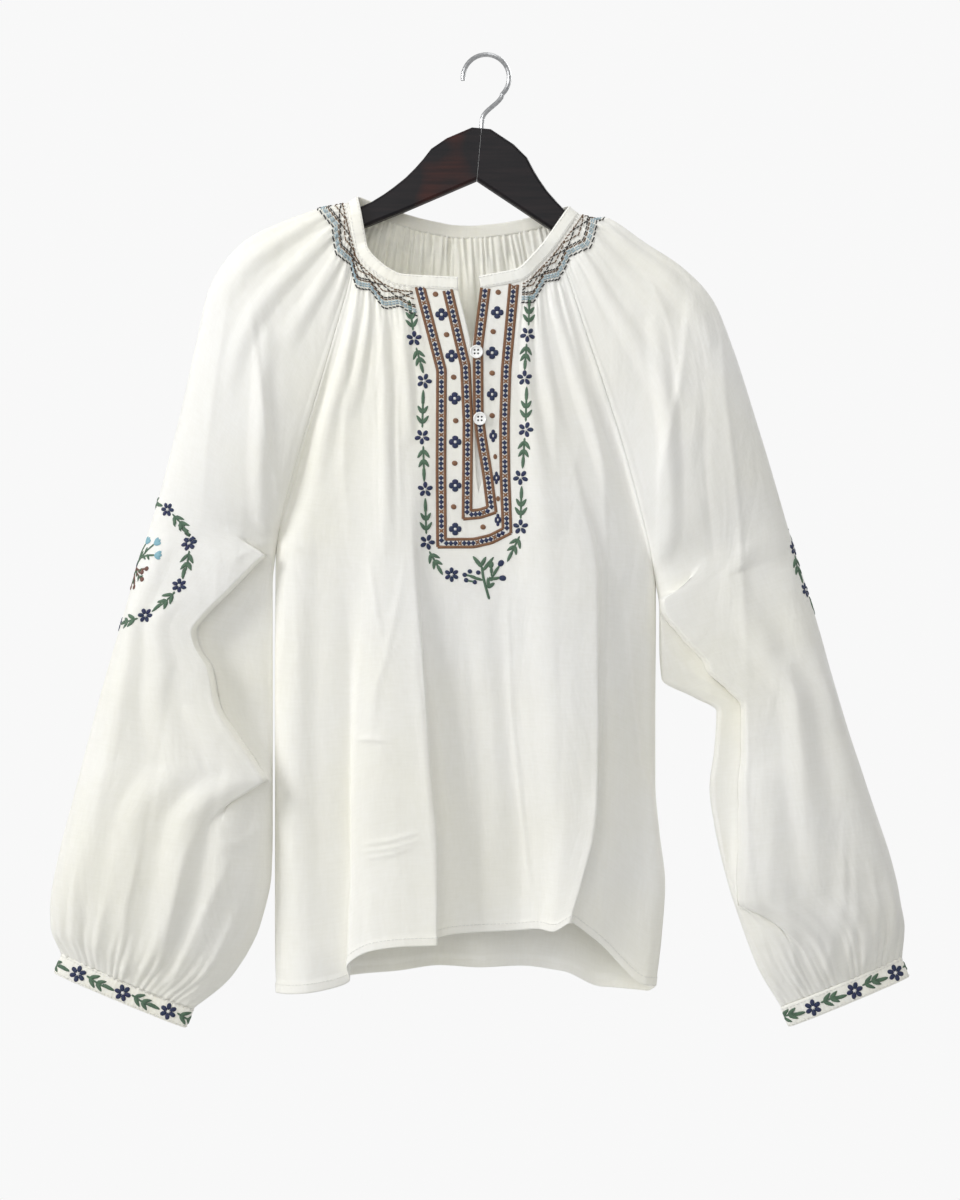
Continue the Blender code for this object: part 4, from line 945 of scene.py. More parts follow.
def finish_shape(sheet, made, flat):
    """Writes UVs in metres for new points and smooths their faces, which it returns."""
    uv = sheet.loops.layers.uv.verify()
    faces = {face for vertex in made for face in vertex.link_faces}
    for face in faces:
        face.smooth = True
        for loop in face.loops:
            loop[uv].uv = flat[loop.vert]
    return list(faces)


def lay_grid(sheet, points, turn_over):
    """Adds a grid to a bmesh and moves it to rows of points, with metres as its UV."""
    rows, columns = points.shape[:2]
    made = bmesh.ops.create_grid(sheet, x_segments=columns - 1, y_segments=rows - 1, size=0.5)["verts"]
    spots = to_world(points)
    wide = from_zero(step_lengths(spots, 1).mean(0))
    tall = from_zero(step_lengths(spots).mean(1))
    flat = {}
    for vertex in made:
        column = round((vertex.co.x + 0.5) * (columns - 1))
        row = round((vertex.co.y + 0.5) * (rows - 1))
        flat[vertex] = (wide[column], tall[row])
        vertex.co = spots[row, column]
    faces = finish_shape(sheet, made, flat)
    if turn_over:
        bmesh.ops.reverse_faces(sheet, faces=faces)


def new_object(name, sheet, *materials):
    """Turns a finished bmesh into an object of the scene."""
    mesh = bpy.data.meshes.new(name)
    sheet.to_mesh(mesh)
    sheet.free()
    for material in materials:
        mesh.materials.append(material)
    made = bpy.data.objects.new(name, mesh)
    bpy.context.scene.collection.objects.link(made)
    return made


def add_piece(name, sheet, material):
    """Adds a finished piece of the blouse, which rides on the only body."""
    made = new_object(name, sheet, material)
    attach(made, "root")
    return made


# %% Cloth objects
WALL, MERGE = 0.0005, 0.000002
for piece in ("front", "back", "sleeve_left", "sleeve_right"):
    sheet = bmesh.new()
    for name, (owner, _, _, sign) in SHEETS.items():
        if owner == piece:
            lay_grid(sheet, FOLDED_POINTS[name], sign > 0)
    bmesh.ops.remove_doubles(sheet, verts=sheet.verts, dist=MERGE)
    made = add_piece("cloth_" + piece, sheet, VOILE)
    wall = made.modifiers.new("wall", "SOLIDIFY")
    wall.thickness = WALL
    wall.offset = 0
    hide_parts(piece)
    print(made.name, "quads:", len(made.data.polygons))

# %% [markdown]
# ## Neckband and cuffs
# Both are straight strips folded double over the gathered edge. Their section is a flat
# oval: two layers with a rounded fold. The oval is carried along the sewn edge, and small
# puckers make its surface uneven, as gathers do on the real band.

# %% Carrying a folded band along an edge
BAND_HALF = 1.0
NECKBAND_HEIGHT, BAND_LIFT, SHOULDER_LIFT = 10.4, 0.7, 0.25
NECK_STEPS, NECK_GAP, LINE_SMOOTHING, SIDE_SMOOTHING = 420, 0.05, 14, 160
CUFF_HEIGHT, CUFF_STEPS = 17.9, 260
PUCKERS, PUCKER_HEIGHT = (23, 37, 61, 88), 0.07
WANDERS, WANDER_HEIGHT = 9, 0.18
BAND_SEEDS = {"neck": 3, "left": 5, "right": 6}


def unit(vectors):
    """Vectors of the same directions, one unit long."""
    return vectors / np.linalg.norm(vectors, axis=-1, keepdims=True)


def evenly(points, count, closed):
    """Resamples a line of points at even steps; other columns follow."""
    line = np.vstack((points, points[:1])) if closed else points
    length = from_zero(step_lengths(line[:, :3]))
    spots = np.linspace(0, length[-1], count, endpoint=not closed)
    return np.stack([np.interp(spots, length, line[:, k]) for k in range(line.shape[1])], axis=1)


def smoothed(rows, times, closed):
    """Averages each row with its neighbours, a few times over."""
    for _ in range(times):
        if closed:
            rows = (np.roll(rows, 1, 0) + 2 * rows + np.roll(rows, -1, 0)) / 4
        else:
            inner = (rows[:-2] + 2 * rows[1:-1] + rows[2:]) / 4
            rows = np.vstack((rows[:1], inner, rows[-1:]))
    return rows


def band_sheet(base, rise, away, height, closed, seed):
    """A bmesh of a folded band: base line, direction it rises in and its outer side."""
    section = [(-0.9, -0.75), (0.8, -1), (height * 0.3, -1), (height * 0.6, -1), (height - 1, -1),
               (height - 0.2, -0.6), (height, 0), (height - 0.2, 0.6), (height - 1, 1),
               (height * 0.6, 1), (height * 0.3, 1), (0.8, 1), (-0.9, 0.75), (-1.2, 0)]
    draw = np.random.default_rng(seed)
    count = len(base)
    turn = np.linspace(0, 2 * np.pi, count, endpoint=False)
    pucker = sum(np.sin(turn * k + draw.uniform(0, 6.3)) for k in PUCKERS) * PUCKER_HEIGHT
    rows = []
    for k, (up, out) in enumerate(section):
        swell = (BAND_HALF + pucker * (1 if out > 0 else 0.6)) * out
        wander = WANDER_HEIGHT * np.sin(turn * WANDERS + k * 0.2 + seed)
        rows.append(base + rise * (up + 0.25 * pucker)[:, None] + away * (swell + wander)[:, None])
    rows.append(rows[0])
    sheet = bmesh.new()
    points = np.array(rows)
    if closed:
        points = np.concatenate((points, points[:, :1]), axis=1)
    lay_grid(sheet, points, False)
    bmesh.ops.remove_doubles(sheet, verts=sheet.verts, dist=MERGE)
    if not closed:
        rim = [edge for edge in sheet.edges if edge.is_boundary]
        bmesh.ops.holes_fill(sheet, edges=rim, sides=0)
    bmesh.ops.recalc_face_normals(sheet, faces=sheet.faces)
    return sheet


# %% The neckband


def edge_run(name, reverse):
    """One sheet's neck edge, with the direction in which the band rises from it."""
    bare = BARE[name]
    lift = SHOULDER_LIFT if name.startswith("sleeve") else BAND_LIFT
    rise = unit(bare[0] - bare[4]) + (0, 0, -lift)
    out = outward(bare, SHEETS[name][3])[0]
    run = np.hstack((bare[0], unit(rise), out))
    return run[::-1] if reverse else run


neck = np.vstack([edge_run("front_left", True), edge_run("sleeve_left", True), edge_run("back", False),
                  edge_run("sleeve_right", False), edge_run("front_right", True)])
keep = np.concatenate(([True], step_lengths(neck[:, :3]) > NECK_GAP))
neck = smoothed(evenly(neck[keep], NECK_STEPS, False), LINE_SMOOTHING, False)
neck[:, 3:] = smoothed(neck[:, 3:], SIDE_SMOOTHING, False)
neck_line = unit(np.gradient(neck[:, :3], axis=0))
neck_rise = unit(neck[:, 3:6] - neck_line * (neck[:, 3:6] * neck_line).sum(1, keepdims=True))
neck_away = np.cross(neck_line, neck_rise)
neck_away *= np.sign((neck_away * neck[:, 6:9]).sum(1).mean())
sheet = band_sheet(neck[:, :3], neck_rise, neck_away, NECKBAND_HEIGHT, False, BAND_SEEDS["neck"])
neckband = add_piece("cloth_neckband", sheet, FOLDED)
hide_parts("neckband")

# %% The cuffs
CUFFS = {}
for side in ("left", "right"):
    ring = evenly(BARE["sleeve_" + side][-1][:-1], CUFF_STEPS, True)
    outer, inner = sleeve_line(side, (SLEEVE_COLUMNS / 2, 0), 2.0)
    way = unit(np.array((-(inner - outer)[2], 0.0, (inner - outer)[0])))
    way = way * np.sign(way[2])
    line = unit(np.roll(ring, -1, 0) - np.roll(ring, 1, 0))
    away = smoothed(unit(np.cross(line, way)), 3, True)
    away *= np.sign(((ring - ring.mean(0)) * away).sum(1).mean())
    rise = np.tile(way, (len(ring), 1))
    sheet = band_sheet(ring, rise, away, CUFF_HEIGHT, True, BAND_SEEDS[side])
    cuff = add_piece("cloth_cuff_" + side, sheet, FOLDED)
    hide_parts("cuff_" + side)
    CUFFS[side] = (ring, rise, away, cuff)

# %% [markdown]
# ## Where a stitch lies
# Thread lies on the cloth and follows its folds. On the front a ray is sent from the
# viewer's side to find the cloth under each point of a stitch. On the sleeves and cuffs
# the pattern runs round the edge, so its places are measured along the cloth instead.

# %% Under a point of the front
RAY_FROM, LOOK_FROM = -1, -0.03


def cloth_tree(name):
    """A search tree of one folded sheet."""
    sheet = bmesh.new()
    lay_grid(sheet, FOLDED_POINTS[name], False)
    found = BVHTree.FromBMesh(sheet)
    sheet.free()
    return found


TREES = {name: cloth_tree(name) for name in ("front_left", "front_right")}


def on_cloth_front(*names):
    """A function that puts (x, drop, height) on the nearest of the named sheets."""

    def lay(x, drop, height):
        best = None
        for name in names:
            hit = TREES[name].ray_cast(Vector((x * MM, RAY_FROM, -drop * MM)), Vector((0, 1, 0)))[0]
            if hit is not None and (best is None or hit.y < best):
                best = hit.y
        if best is None:
            near = [TREES[n].find_nearest(Vector((x * MM, LOOK_FROM, -drop * MM)))[0] for n in names]
            best = min(near, key=lambda spot: abs(spot.x - x * MM) + abs(spot.z + drop * MM)).y
        return Vector((x * MM, best - WALL / 2 - height * MM, -drop * MM))

    return lay


ON_LEFT = on_cloth_front("front_left")
ON_RIGHT = on_cloth_front("front_right")
ON_FRONT = on_cloth_front("front_left", "front_right")


# %% Along the cloth of a sleeve or a cuff
CUFF_FRONT, CUFF_CLEAR = 0.75, 0.1


def between(grid, row, column):
    """Reads a grid of vectors between its rows and columns."""
    i = min(max(int(row), 0), grid.shape[0] - 2)
    j = min(max(int(column), 0), grid.shape[1] - 2)
    s, t = row - i, column - j
    return ((grid[i, j] * (1 - t) + grid[i, j + 1] * t) * (1 - s)
            + (grid[i + 1, j] * (1 - t) + grid[i + 1, j + 1] * t) * s)


def on_sheet(name, row, column, height):
    """A world point at a height in mm over one sheet."""
    spot = between(FOLDED_POINTS[name], row, column)
    spot = spot + between(OUTWARD[name], row, column) * (height + WALL / 2 / MM)
    return Vector(to_world(spot))


def on_sleeve(side, centre_s, centre_drop):
    """Places are mm round the sleeve from its outer edge, and mm along that edge."""
    name = "sleeve_" + side
    grid = FOLDED_POINTS[name]
    middle = grid.shape[1] // 2
    around = from_zero(step_lengths(grid, 1), 1)
    around = around - around[:, middle:middle + 1]
    edge = grid[:, middle]
    down = from_zero(step_lengths(edge))
    start = np.interp(centre_drop, edge[:, 2], down)

    def lay(s, v, height):
        row = float(np.interp(start + v, down, np.arange(len(down))))
        i = int(row)
        column = float(np.interp(centre_s + s, around[i], np.arange(grid.shape[1])))
        return on_sheet(name, row, column, height)

    return lay


def on_cuff(side):
    """Places are mm round the cuff from the middle of its front, and mm below the gathers."""
    ring, rise, away, _ = CUFFS[side]
    loop = np.vstack((ring, ring[:1]))
    round_it = from_zero(step_lengths(loop))
    front = round_it[-1] * CUFF_FRONT

    def lay(s, v, height):
        at = (front + s) % round_it[-1]
        i = float(np.interp(at, round_it, np.arange(len(loop))))
        a, b, t = int(i) % len(ring), (int(i) + 1) % len(ring), i - int(i)
        spot = ring[a] * (1 - t) + ring[b] * t + rise[a] * v
        out = away[a] * (1 - t) + away[b] * t
        return Vector(to_world(spot + out * (BAND_HALF + CUFF_CLEAR + height)))

    return lay, round_it[-1]


# %% [markdown]
# ## Embroidery thread
# Stranded cotton thread has a silky shine, because its fibres lie side by side. Satin
# stitch fills a shape with threads laid close together, which is drawn as a low dome with
# fine bands across it. The bands are half a millimetre apart: bumps, with painted shade
# darkening the colour in the grooves between them.

# %% Thread materials
THREAD_COLOURS = {"navy": ("1e2553", "152e4f"), "green": ("4a6852", "5b7a60"),
                  "brown": ("7a5236", "8d6443"), "white": ("f7f6f2", "ecebe4"),
                  "sky": ("7fb3c4", "93c1cd"), "rust": ("6b4438", "7d5546"),
                  "black": ("24221f", "37332e"), "pale_blue": ("b9ced6", "a9c1cc"),
                  "umber": ("74512c", "5e4226")}
THREAD_PITCH = 0.0005


def thread_material(name, colours):
    """Shiny cotton thread in two tones, with bands across its UV's first direction, whose grooves are
    darkened with painted shade.
    """
    made, tree, shader = new_material("stranded cotton thread, " + name.replace("_", " "))
    place = node(tree, "TexCoord")
    bands = node(tree, "TexWave", {"Scale": 2 * math.pi / 20 / THREAD_PITCH, "Distortion": 0.6,
                                   "Detail": 1.0}, {"Vector": place.outputs["UV"]})
    patch = node(tree, "TexNoise", {"Scale": 260.0, "Detail": 2.0}, {"Vector": place.outputs["Object"]})
    tone = colour_steps(tree, patch.outputs["Fac"], (0.35, colours[0]), (0.7, colours[1]))
    # Painted shade: the colour is darkened in the grooves between the laid threads, where the bands' bump
    # sinks.
    groove_shade = colour_steps(tree, bands.outputs["Fac"], (0.0, "b9b9b9"), (0.5, "ffffff"))
    tree.links.new(mixed_colour(tree, 0.6, tone, groove_shade, "MULTIPLY"), shader.inputs["Base Color"])
    relief = node(tree, "Bump", {"Strength": 0.5, "Distance": 0.0002}, {"Height": bands.outputs["Fac"]})
    tree.links.new(relief.outputs[0], shader.inputs["Normal"])
    rough_between(tree, shader, patch.outputs["Fac"], 0.42, 0.62)
    settle(shader, Sheen_Weight=0.1)
    return made


THREAD_MATERIALS = {name: thread_material(name, pair) for name, pair in THREAD_COLOURS.items()}
THREAD_MATERIALS["tape"] = FOLDED

# %% [markdown]
# ## The shapes that stitches make
# There are three: a satin dome for petals and leaves, a cord for stems and stripes, and a
# single straight stitch. Each starts as one of Blender's own shapes, and the first two
# are laid on the cloth point by point. All stitches of one colour and place become one
# mesh.

# %% Stitch shapes
# LIFT is a shape's height over the cloth. SUNK is how far its dome reaches below that,
# as a share of how far it rises.
STITCHES = {}
LIFT, SUNK = 0.14, -0.3
CORD_SIDES, CORD_END = 6, 0.35


def stitches(group, colour):
    """The bmesh that holds all stitches of one place and colour."""
    return STITCHES.setdefault((group, colour), bmesh.new())


def turned(x, y, u, v, turn):
    """The place x, y moved by u, v in a frame that is turned."""
    cos, sin = math.cos(turn), math.sin(turn)
    return x + u * cos - v * sin, y + u * sin + v * cos


def satin(group, colour, lay, x, y, turn, long, wide, tip=0.0, raised=0.7):
    """A satin-stitched shape round its middle, narrowed by tip towards its far end."""
    sheet = stitches(group, colour)
    made = bmesh.ops.create_icosphere(sheet, subdivisions=2, radius=1.0)["verts"]
    flat = {}
    for vertex in made:
        u, v, h = vertex.co
        v *= 1 - tip * (u + 1) / 2
        u, v = u * long / 2, v * wide / 2
        flat[vertex] = (u * MM, v * MM)
        vertex.co = lay(*turned(x, y, u, v, turn), LIFT + max(h, SUNK) * raised)
    finish_shape(sheet, made, flat)


def cord(group, colour, lay, path, wide, raised=0.6, step=1.2, taper=True):
    """A stem or stripe along a path of places, tapered a little at its ends."""
    length = sum(math.dist(a, b) for a, b in zip(path[:-1], path[1:]))
    path = evenly(np.array(path, float), max(3, int(length / step) + 1), False)
    path = smoothed(path, 2, False)
    way = unit(np.gradient(path, axis=0))
    sheet = stitches(group, colour)
    count, flat = len(path), {}
    made = bmesh.ops.create_grid(sheet, x_segments=count - 1, y_segments=CORD_SIDES, size=0.5)["verts"]
    for vertex in made:
        i = round((vertex.co.x + 0.5) * (count - 1))
        angle = (vertex.co.y + 0.5) * 2 * math.pi
        thin = CORD_END if taper and i in (0, count - 1) else 1.0
        v = math.cos(angle) * wide / 2 * thin
        h = LIFT + max(math.sin(angle), SUNK) * raised * thin
        flat[vertex] = (i * step * MM, v * MM)
        vertex.co = lay(path[i, 0] - way[i, 1] * v, path[i, 1] + way[i, 0] * v, h)
    faces = finish_shape(sheet, made, flat)
    if lay is ON_FRONT:
        bmesh.ops.reverse_faces(sheet, faces=faces)


def straight_stitch(group, colour, a, b, thick):
    """One stitch between two world points, a little sunk at both ends."""
    sheet = stitches(group, colour)
    way = b - a
    turn = way.to_track_quat("Z", "Y").to_matrix().to_4x4()
    made = bmesh.ops.create_cone(sheet, cap_ends=True, segments=5, radius1=thick * MM, radius2=thick * MM,
                                 depth=way.length, matrix=Matrix.Translation((a + b) / 2) @ turn)["verts"]
    finish_shape(sheet, made, {vertex: (vertex.co.x, vertex.co.z) for vertex in made})


# %% Flowers, leaves and sprigs
# A petal's distance, length and width and the knot's width, as shares of the flower's.
SLIM_PETALS, BROAD_PETALS = (0.30, 0.42, 0.25, 0.20), (0.29, 0.44, 0.44, 0.25)


def flower(group, lay, x, y, petals, size, turn=0.0):
    """Navy petals round a white knot. size is the flower's whole width in mm."""
    far, long, wide, knot = (size * share for share in (SLIM_PETALS if petals > 4 else BROAD_PETALS))
    for k in range(petals):
        angle = turn + 2 * math.pi * k / petals
        place = x + far * math.cos(angle), y + far * math.sin(angle)
        satin(group, "navy", lay, *place, angle, long, wide, -0.25)
    satin(group, "white", lay, x, y, 0, knot, knot, raised=0.85)


def sprig(group, lay, start, end, size, bend=0.0):
    """A stem with two pairs of leaves near its start, whose tips point towards its end."""
    start, end = np.array(start, float), np.array(end, float)
    way = end - start
    length = math.hypot(*way)
    turn = math.atan2(way[1], way[0])
    side = np.array((-way[1], way[0])) / length
    path = [start + way * t + side * bend * math.sin(math.pi * t) for t in np.linspace(0, 1, 7)]
    cord(group, "green", lay, path, 1.7, 0.5)
    for k in range(2):
        t = 0.10 + 0.27 * k
        root = start + way * t + side * bend * math.sin(math.pi * t)
        for hand in (-1, 1):
            angle = turn + hand * (0.62 - 0.06 * k)
            long = size * (1.0 - 0.08 * k)
            spot = root + np.array((math.cos(angle), math.sin(angle))) * long * 0.55
            satin(group, "green", lay, *spot, angle, long, size * 0.47, 0.5)
    satin(group, "green", lay, *(start + way * 0.80), turn, length * 0.44, size * 0.42, 0.3)


# %% [markdown]
# ## The embroidered placket
# Two borders run round the slit, one inside the other: brown stripes with a white ground
# between them and small navy diamonds in threes. Four-petalled flowers and brown dots
# take turns between the borders, and a leafy vine runs round the outside.

# %% Borders of the placket
# Each border: its corners on the picture, and which two of them end its lower side.
BORDERS = (
    (((420.5, 290), (442, 373), (441.5, 469), (442, 544), (474, 543.8), (490.5, 540), (506.6, 531.8),
      (505.8, 508), (504.8, 484), (504.2, 445), (504.2, 424), (505.8, 372), (513.5, 288)), 3, 6),
    (((448, 294), (465.6, 369), (468, 424), (467.2, 516), (480, 514.8), (491.7, 510.9), (487, 473.7),
      (481, 437.4), (478.3, 414), (478, 350), (485.3, 292)), 3, 5))
BORDER_HALF, STRIPE = 3.25, 2.7
DIAMOND_PITCH, DIAMOND_FOOT, DIAMOND_TOP = 4.1, 2.4, 2.0
CORNER_CLEAR, END_CLEAR = 1.1, 0.6
CROSS_LONG, CROSS_WIDE, CROSS_LEAN = 5.4, 1.9, 0.85


def offset_line(line, off):
    """A line moved sideways, with its corners kept sharp."""
    way = unit(np.diff(line, axis=0))
    side = np.stack((-way[:, 1], way[:, 0]), axis=1)
    ends = np.vstack((side[:1], side[:-1] + side[1:], side[-1:]))
    turns = np.concatenate(([1.0], 1 + (side[:-1] * side[1:]).sum(1), [1.0]))
    return line + ends / turns[:, None] * off


def diamond(lay, x, y, turn):
    """A navy diamond that stands half a millimetre proud of the white ground."""
    sheet = stitches("placket", "navy")
    made = bmesh.ops.create_cone(sheet, cap_ends=True, segments=4, radius1=DIAMOND_FOOT,
                                 radius2=DIAMOND_TOP, depth=1.0)["verts"]
    flat = {}
    for vertex in made:
        u, v, h = vertex.co
        flat[vertex] = (u * MM, v * MM)
        vertex.co = lay(*turned(x, y, u, v, turn), 0.62 + h * 0.5)
    finish_shape(sheet, made, flat)


def border(path, first, last):
    """Down one side, along the foot and up the other: white ground, stripes and diamonds."""
    path = np.array([on_front(*p) for p in path])
    sides = ((ON_LEFT, slice(0, first + 1)), (ON_FRONT, slice(first, last + 1)),
             (ON_RIGHT, slice(last, None)))
    for lay, part in sides:
        cord("placket", "white", lay, path[part], 2 * BORDER_HALF, 0.22, taper=False)
        for hand in (-1, 1):
            stripe = offset_line(path, hand * BORDER_HALF)[part]
            cord("placket", "brown", lay, stripe, STRIPE, 0.75, taper=False)
        count = round(step_lengths(path[part]).sum() / DIAMOND_PITCH)
        line = evenly(path[part], 200, False)
        way = unit(np.gradient(line, axis=0))
        clear = CORNER_CLEAR if lay is ON_FRONT else END_CLEAR
        for k in range(count):
            i = (k + clear) / (count - 1 + 2 * clear) * (len(line) - 1)
            x, y = (np.interp(i, np.arange(len(line)), line[:, c]) for c in (0, 1))
            turn = math.atan2(way[int(i), 1], way[int(i), 0])
            if k % 4 == 3:
                for lean in (CROSS_LEAN, -CROSS_LEAN):
                    satin("placket", "brown", lay, x, y, turn + lean, CROSS_LONG, CROSS_WIDE, raised=0.8)
            else:
                diamond(lay, x, y, turn)


for path, first, last in BORDERS:
    border(path, first, last)

# %% Flowers and dots between the borders
# The right side's flowers get narrower step by step, and so do a few of its dots.
SLIT_PIXEL, SQUEEZE = 480, ((356, 397, 438, 479), (1.0, 0.85, 0.62, 0.52))
FOUR_PETALS = ((442, 318), (452, 359), (455, 401), (455.5, 444), (455.5, 487), (455.5, 530),
               (497, 316), (492, 356), (492, 397), (493, 438), (496.2, 479.5), (497.6, 521))
DOTS = ((436, 298), (447, 338), (454, 380), (456, 423), (455, 465), (454, 508), (498, 296), (493, 335),
        (492, 376), (492, 418), (495, 458.5), (497.8, 500), (483, 528))


def squeezed(lay, centre, share):
    """The same cloth, with the pattern pressed together sideways, as on a slanting fold."""
    return lambda x, y, h: lay(centre + (x - centre) * share, y, h)


for px, py in FOUR_PETALS:
    x, y = on_front(px, py)
    left = px < SLIT_PIXEL
    narrow = 1.0 if left else float(np.interp(py, *SQUEEZE))
    flower("placket", squeezed(ON_LEFT if left else ON_RIGHT, x, narrow), x, y, 4, 10.8)
for px, py in DOTS:
    x, y = on_front(px, py)
    narrow = 0.7 if px > SLIT_PIXEL and 430 < py < 510 else 1.0
    lay = squeezed(ON_LEFT if px < 475 else ON_RIGHT, x, narrow)
    satin("placket", "brown", lay, x, y, 0.3, 5.0, 4.6)

# %% [markdown]
# The cloth seen through the foot of the slit is pale, so a narrow strip lies close behind
# it, held by the border's stitches on both sides.

# %% The strip behind the slit
STRIP_PIXELS, STRIP_DEEP, STRIP_WIDE = (469.5, 489.5), 2.1, 15.5


def behind_slit(x, y, h):
    """A point of the strip, on a straight line between the cloth on the slit's two sides."""
    ends = [on_front(px, 460)[0] for px in STRIP_PIXELS]
    a, b = ON_LEFT(ends[0], y, h - STRIP_DEEP), ON_RIGHT(ends[1], y, h - STRIP_DEEP)
    return a.lerp(b, (x - ends[0]) / (ends[1] - ends[0]))


strip_line = [on_front(sum(STRIP_PIXELS) / 2, py) for py in (404, 452, 500)]
cord("underlap", "tape", behind_slit, strip_line, STRIP_WIDE, 0.3, taper=False)

# %% The vine round the placket
VINE_FLOWERS = ((415, 342), (425, 384), (423, 439), (426, 491), (428, 543), (527, 338), (524, 381),
                (525, 432), (520, 479), (520, 528))
VINE_SPRIGS = (((414, 334), (410, 304)), ((417, 351), (424, 376)), ((423, 430), (424, 393)),
               ((424, 448), (425, 483)), ((427, 535), (426, 500)), ((430, 552), (443, 575)),
               ((528, 329), (529, 299)), ((526, 347), (524, 373)), ((525, 424), (526, 390)),
               ((524, 440), (522, 470)), ((520, 520), (521, 488)), ((519, 537), (507, 562)))
for k, (px, py) in enumerate(VINE_FLOWERS):
    turn = -1.57 + 0.35 * (k % 3)
    flower("vine", ON_FRONT, *on_front(px, py), 5, 13.2, turn)
for a, b in VINE_SPRIGS:
    sprig("vine", ON_FRONT, on_front(*a), on_front(*b), size=8.6)
flower("vine", ON_FRONT, *on_front(452, 575), 6, 12.6, 0.5)

# %% The sprig below the slit
BERRIES = ((464.9, 575.2), (470, 571.8), (466.4, 580.5), (474.8, 582.4), (478.3, 572.9))
STEMS = (((489.2, 599.4), (485.7, 587.5), (483, 576.7), (481.9, 567)), ((487.3, 588), (488, 583), (490, 577)),
         ((490, 580), (494.4, 574.5), (499, 566.5)), ((490, 581), (495, 578.5), (500, 578)),
         ((491.5, 577), (491.2, 571), (490.8, 567)), ((466, 575.5), (471, 576), (476, 577.5)),
         ((467, 580.5), (471, 581.5), (475, 582)))
BLADES = ((472.9, 556.6, 482, 568, 4.4), (485.9, 557.2, 480.8, 567, 4.2), (493.8, 557.2, 482.5, 571.5, 3.8),
          (468.8, 576.4, 483, 580.5, 3.2), (494.5, 583, 487.5, 588, 4.4), (487.6, 577.5, 488.4, 587, 3.6),
          (499.6, 565.6, 493, 575, 3.2), (500.4, 577.6, 492, 579.5, 3.4), (490.9, 566, 491.4, 574.5, 3.4))
BUDS = ((500.6, 563.8, 5.35, "navy"), (502.2, 578.4, 0.1, "navy"), (490.7, 565.2, 4.7, "green"))
for px, py in BERRIES:
    satin("vine", "navy", ON_FRONT, *on_front(px, py), 0.4, 4.2, 3.9)
for path in STEMS:
    main = path is STEMS[0]
    cord("vine", "green", ON_FRONT, [on_front(*p) for p in path], 2.3 if main else 1.7)
for tip_x, tip_y, root_x, root_y, wide in BLADES:
    (ax, ay), (bx, by) = on_front(tip_x, tip_y), on_front(root_x, root_y)
    satin("vine", "green", ON_FRONT, (ax + bx) / 2, (ay + by) / 2, math.atan2(ay - by, ax - bx),
          math.dist((ax, ay), (bx, by)), wide, 0.35)
for px, py, turn, colour in BUDS:
    satin("vine", colour, ON_FRONT, *on_front(px, py), turn, 6.4, 4.6, -0.2)
print("colours and places stitched so far:", len(STITCHES))

# %% [markdown]
# ## Wreaths on the sleeves
# A round wreath sits on the outer side of each sleeve, so each is seen half from the
# front and half from the back. Nine flowers share the ring with leafy sprigs, and a small
# branch with tulips and berries fills it.

# %% Wreaths
# Each wreath: its middle as mm round the sleeve and as drop, and its first flower's angle.
WREATHS = {"left": (3.0, 437.7, math.radians(-69)), "right": (-45.0, 446.0, math.radians(-24))}
WREATH_RADIUS, WREATH_FLOWERS = 55.0, 9
TULIPS = (((1, 4), (6, -3), (14, -13), (19, -19)), ((8, -5), (15, -8), (24, -10)),
          ((4, 0), (4, -9), (8, -18)))
BERRY_STEMS = (((1, 4), (10, 6), (21, 3)), ((2, 5), (11, 10), (20, 13)), ((2, 4), (4, 14), (3, 22)),
               ((3, 10), (8, 15), (11, 21)), ((9, 6), (14, 8), (17, 7)))
BRANCH_LEAVES = ((7, -8, -1.3), (12, -12, -1.5), (13, -6, 0.5), (18, -7, 0.7), (8, 9, 1.1), (5, 16, 0.8),
                 (13, 5.5, -0.7), (14, 12.5, 1.2), (17, 11, -0.4), (3, 9, 2.2))
for side, (s, drop, first) in WREATHS.items():
    group, lay = "wreath_" + side, on_sleeve(side, s, drop)
    for k in range(WREATH_FLOWERS):
        angle = first + 2 * math.pi * k / WREATH_FLOWERS
        at, start, end = ((WREATH_RADIUS * math.cos(angle + d), WREATH_RADIUS * math.sin(angle + d))
                          for d in (0, 0.12, 0.58))
        flower(group, lay, *at, 6, 13.0, angle)
        sprig(group, lay, start, end, size=9.4, bend=-1.4)
    for hand in (1, -1):
        for path in TULIPS:
            path = [(hand * a, b) for a, b in path]
            cord(group, "green", lay, path, 1.9, 0.5)
            (ax, ay), (bx, by) = path[-2:]
            for lean in (-0.55, 0, 0.55):
                turn = math.atan2(by - ay, bx - ax) + lean
                petal = bx + 3 * math.cos(turn), by + 3 * math.sin(turn)
                satin(group, "sky", lay, *petal, turn, 7.0, 3.2, -0.2)
        for path in BERRY_STEMS:
            path = [(hand * a, b) for a, b in path]
            cord(group, "rust", lay, path, 1.9, 0.5)
            satin(group, "rust", lay, *path[-1], 0, 4.8, 4.4)
        for a, b, turn in BRANCH_LEAVES:
            satin(group, "green", lay, hand * a, b, turn if hand > 0 else math.pi - turn, 6.8, 3.0, 0.4)
    satin(group, "navy", lay, 1, 1, 1.6, 7, 6)

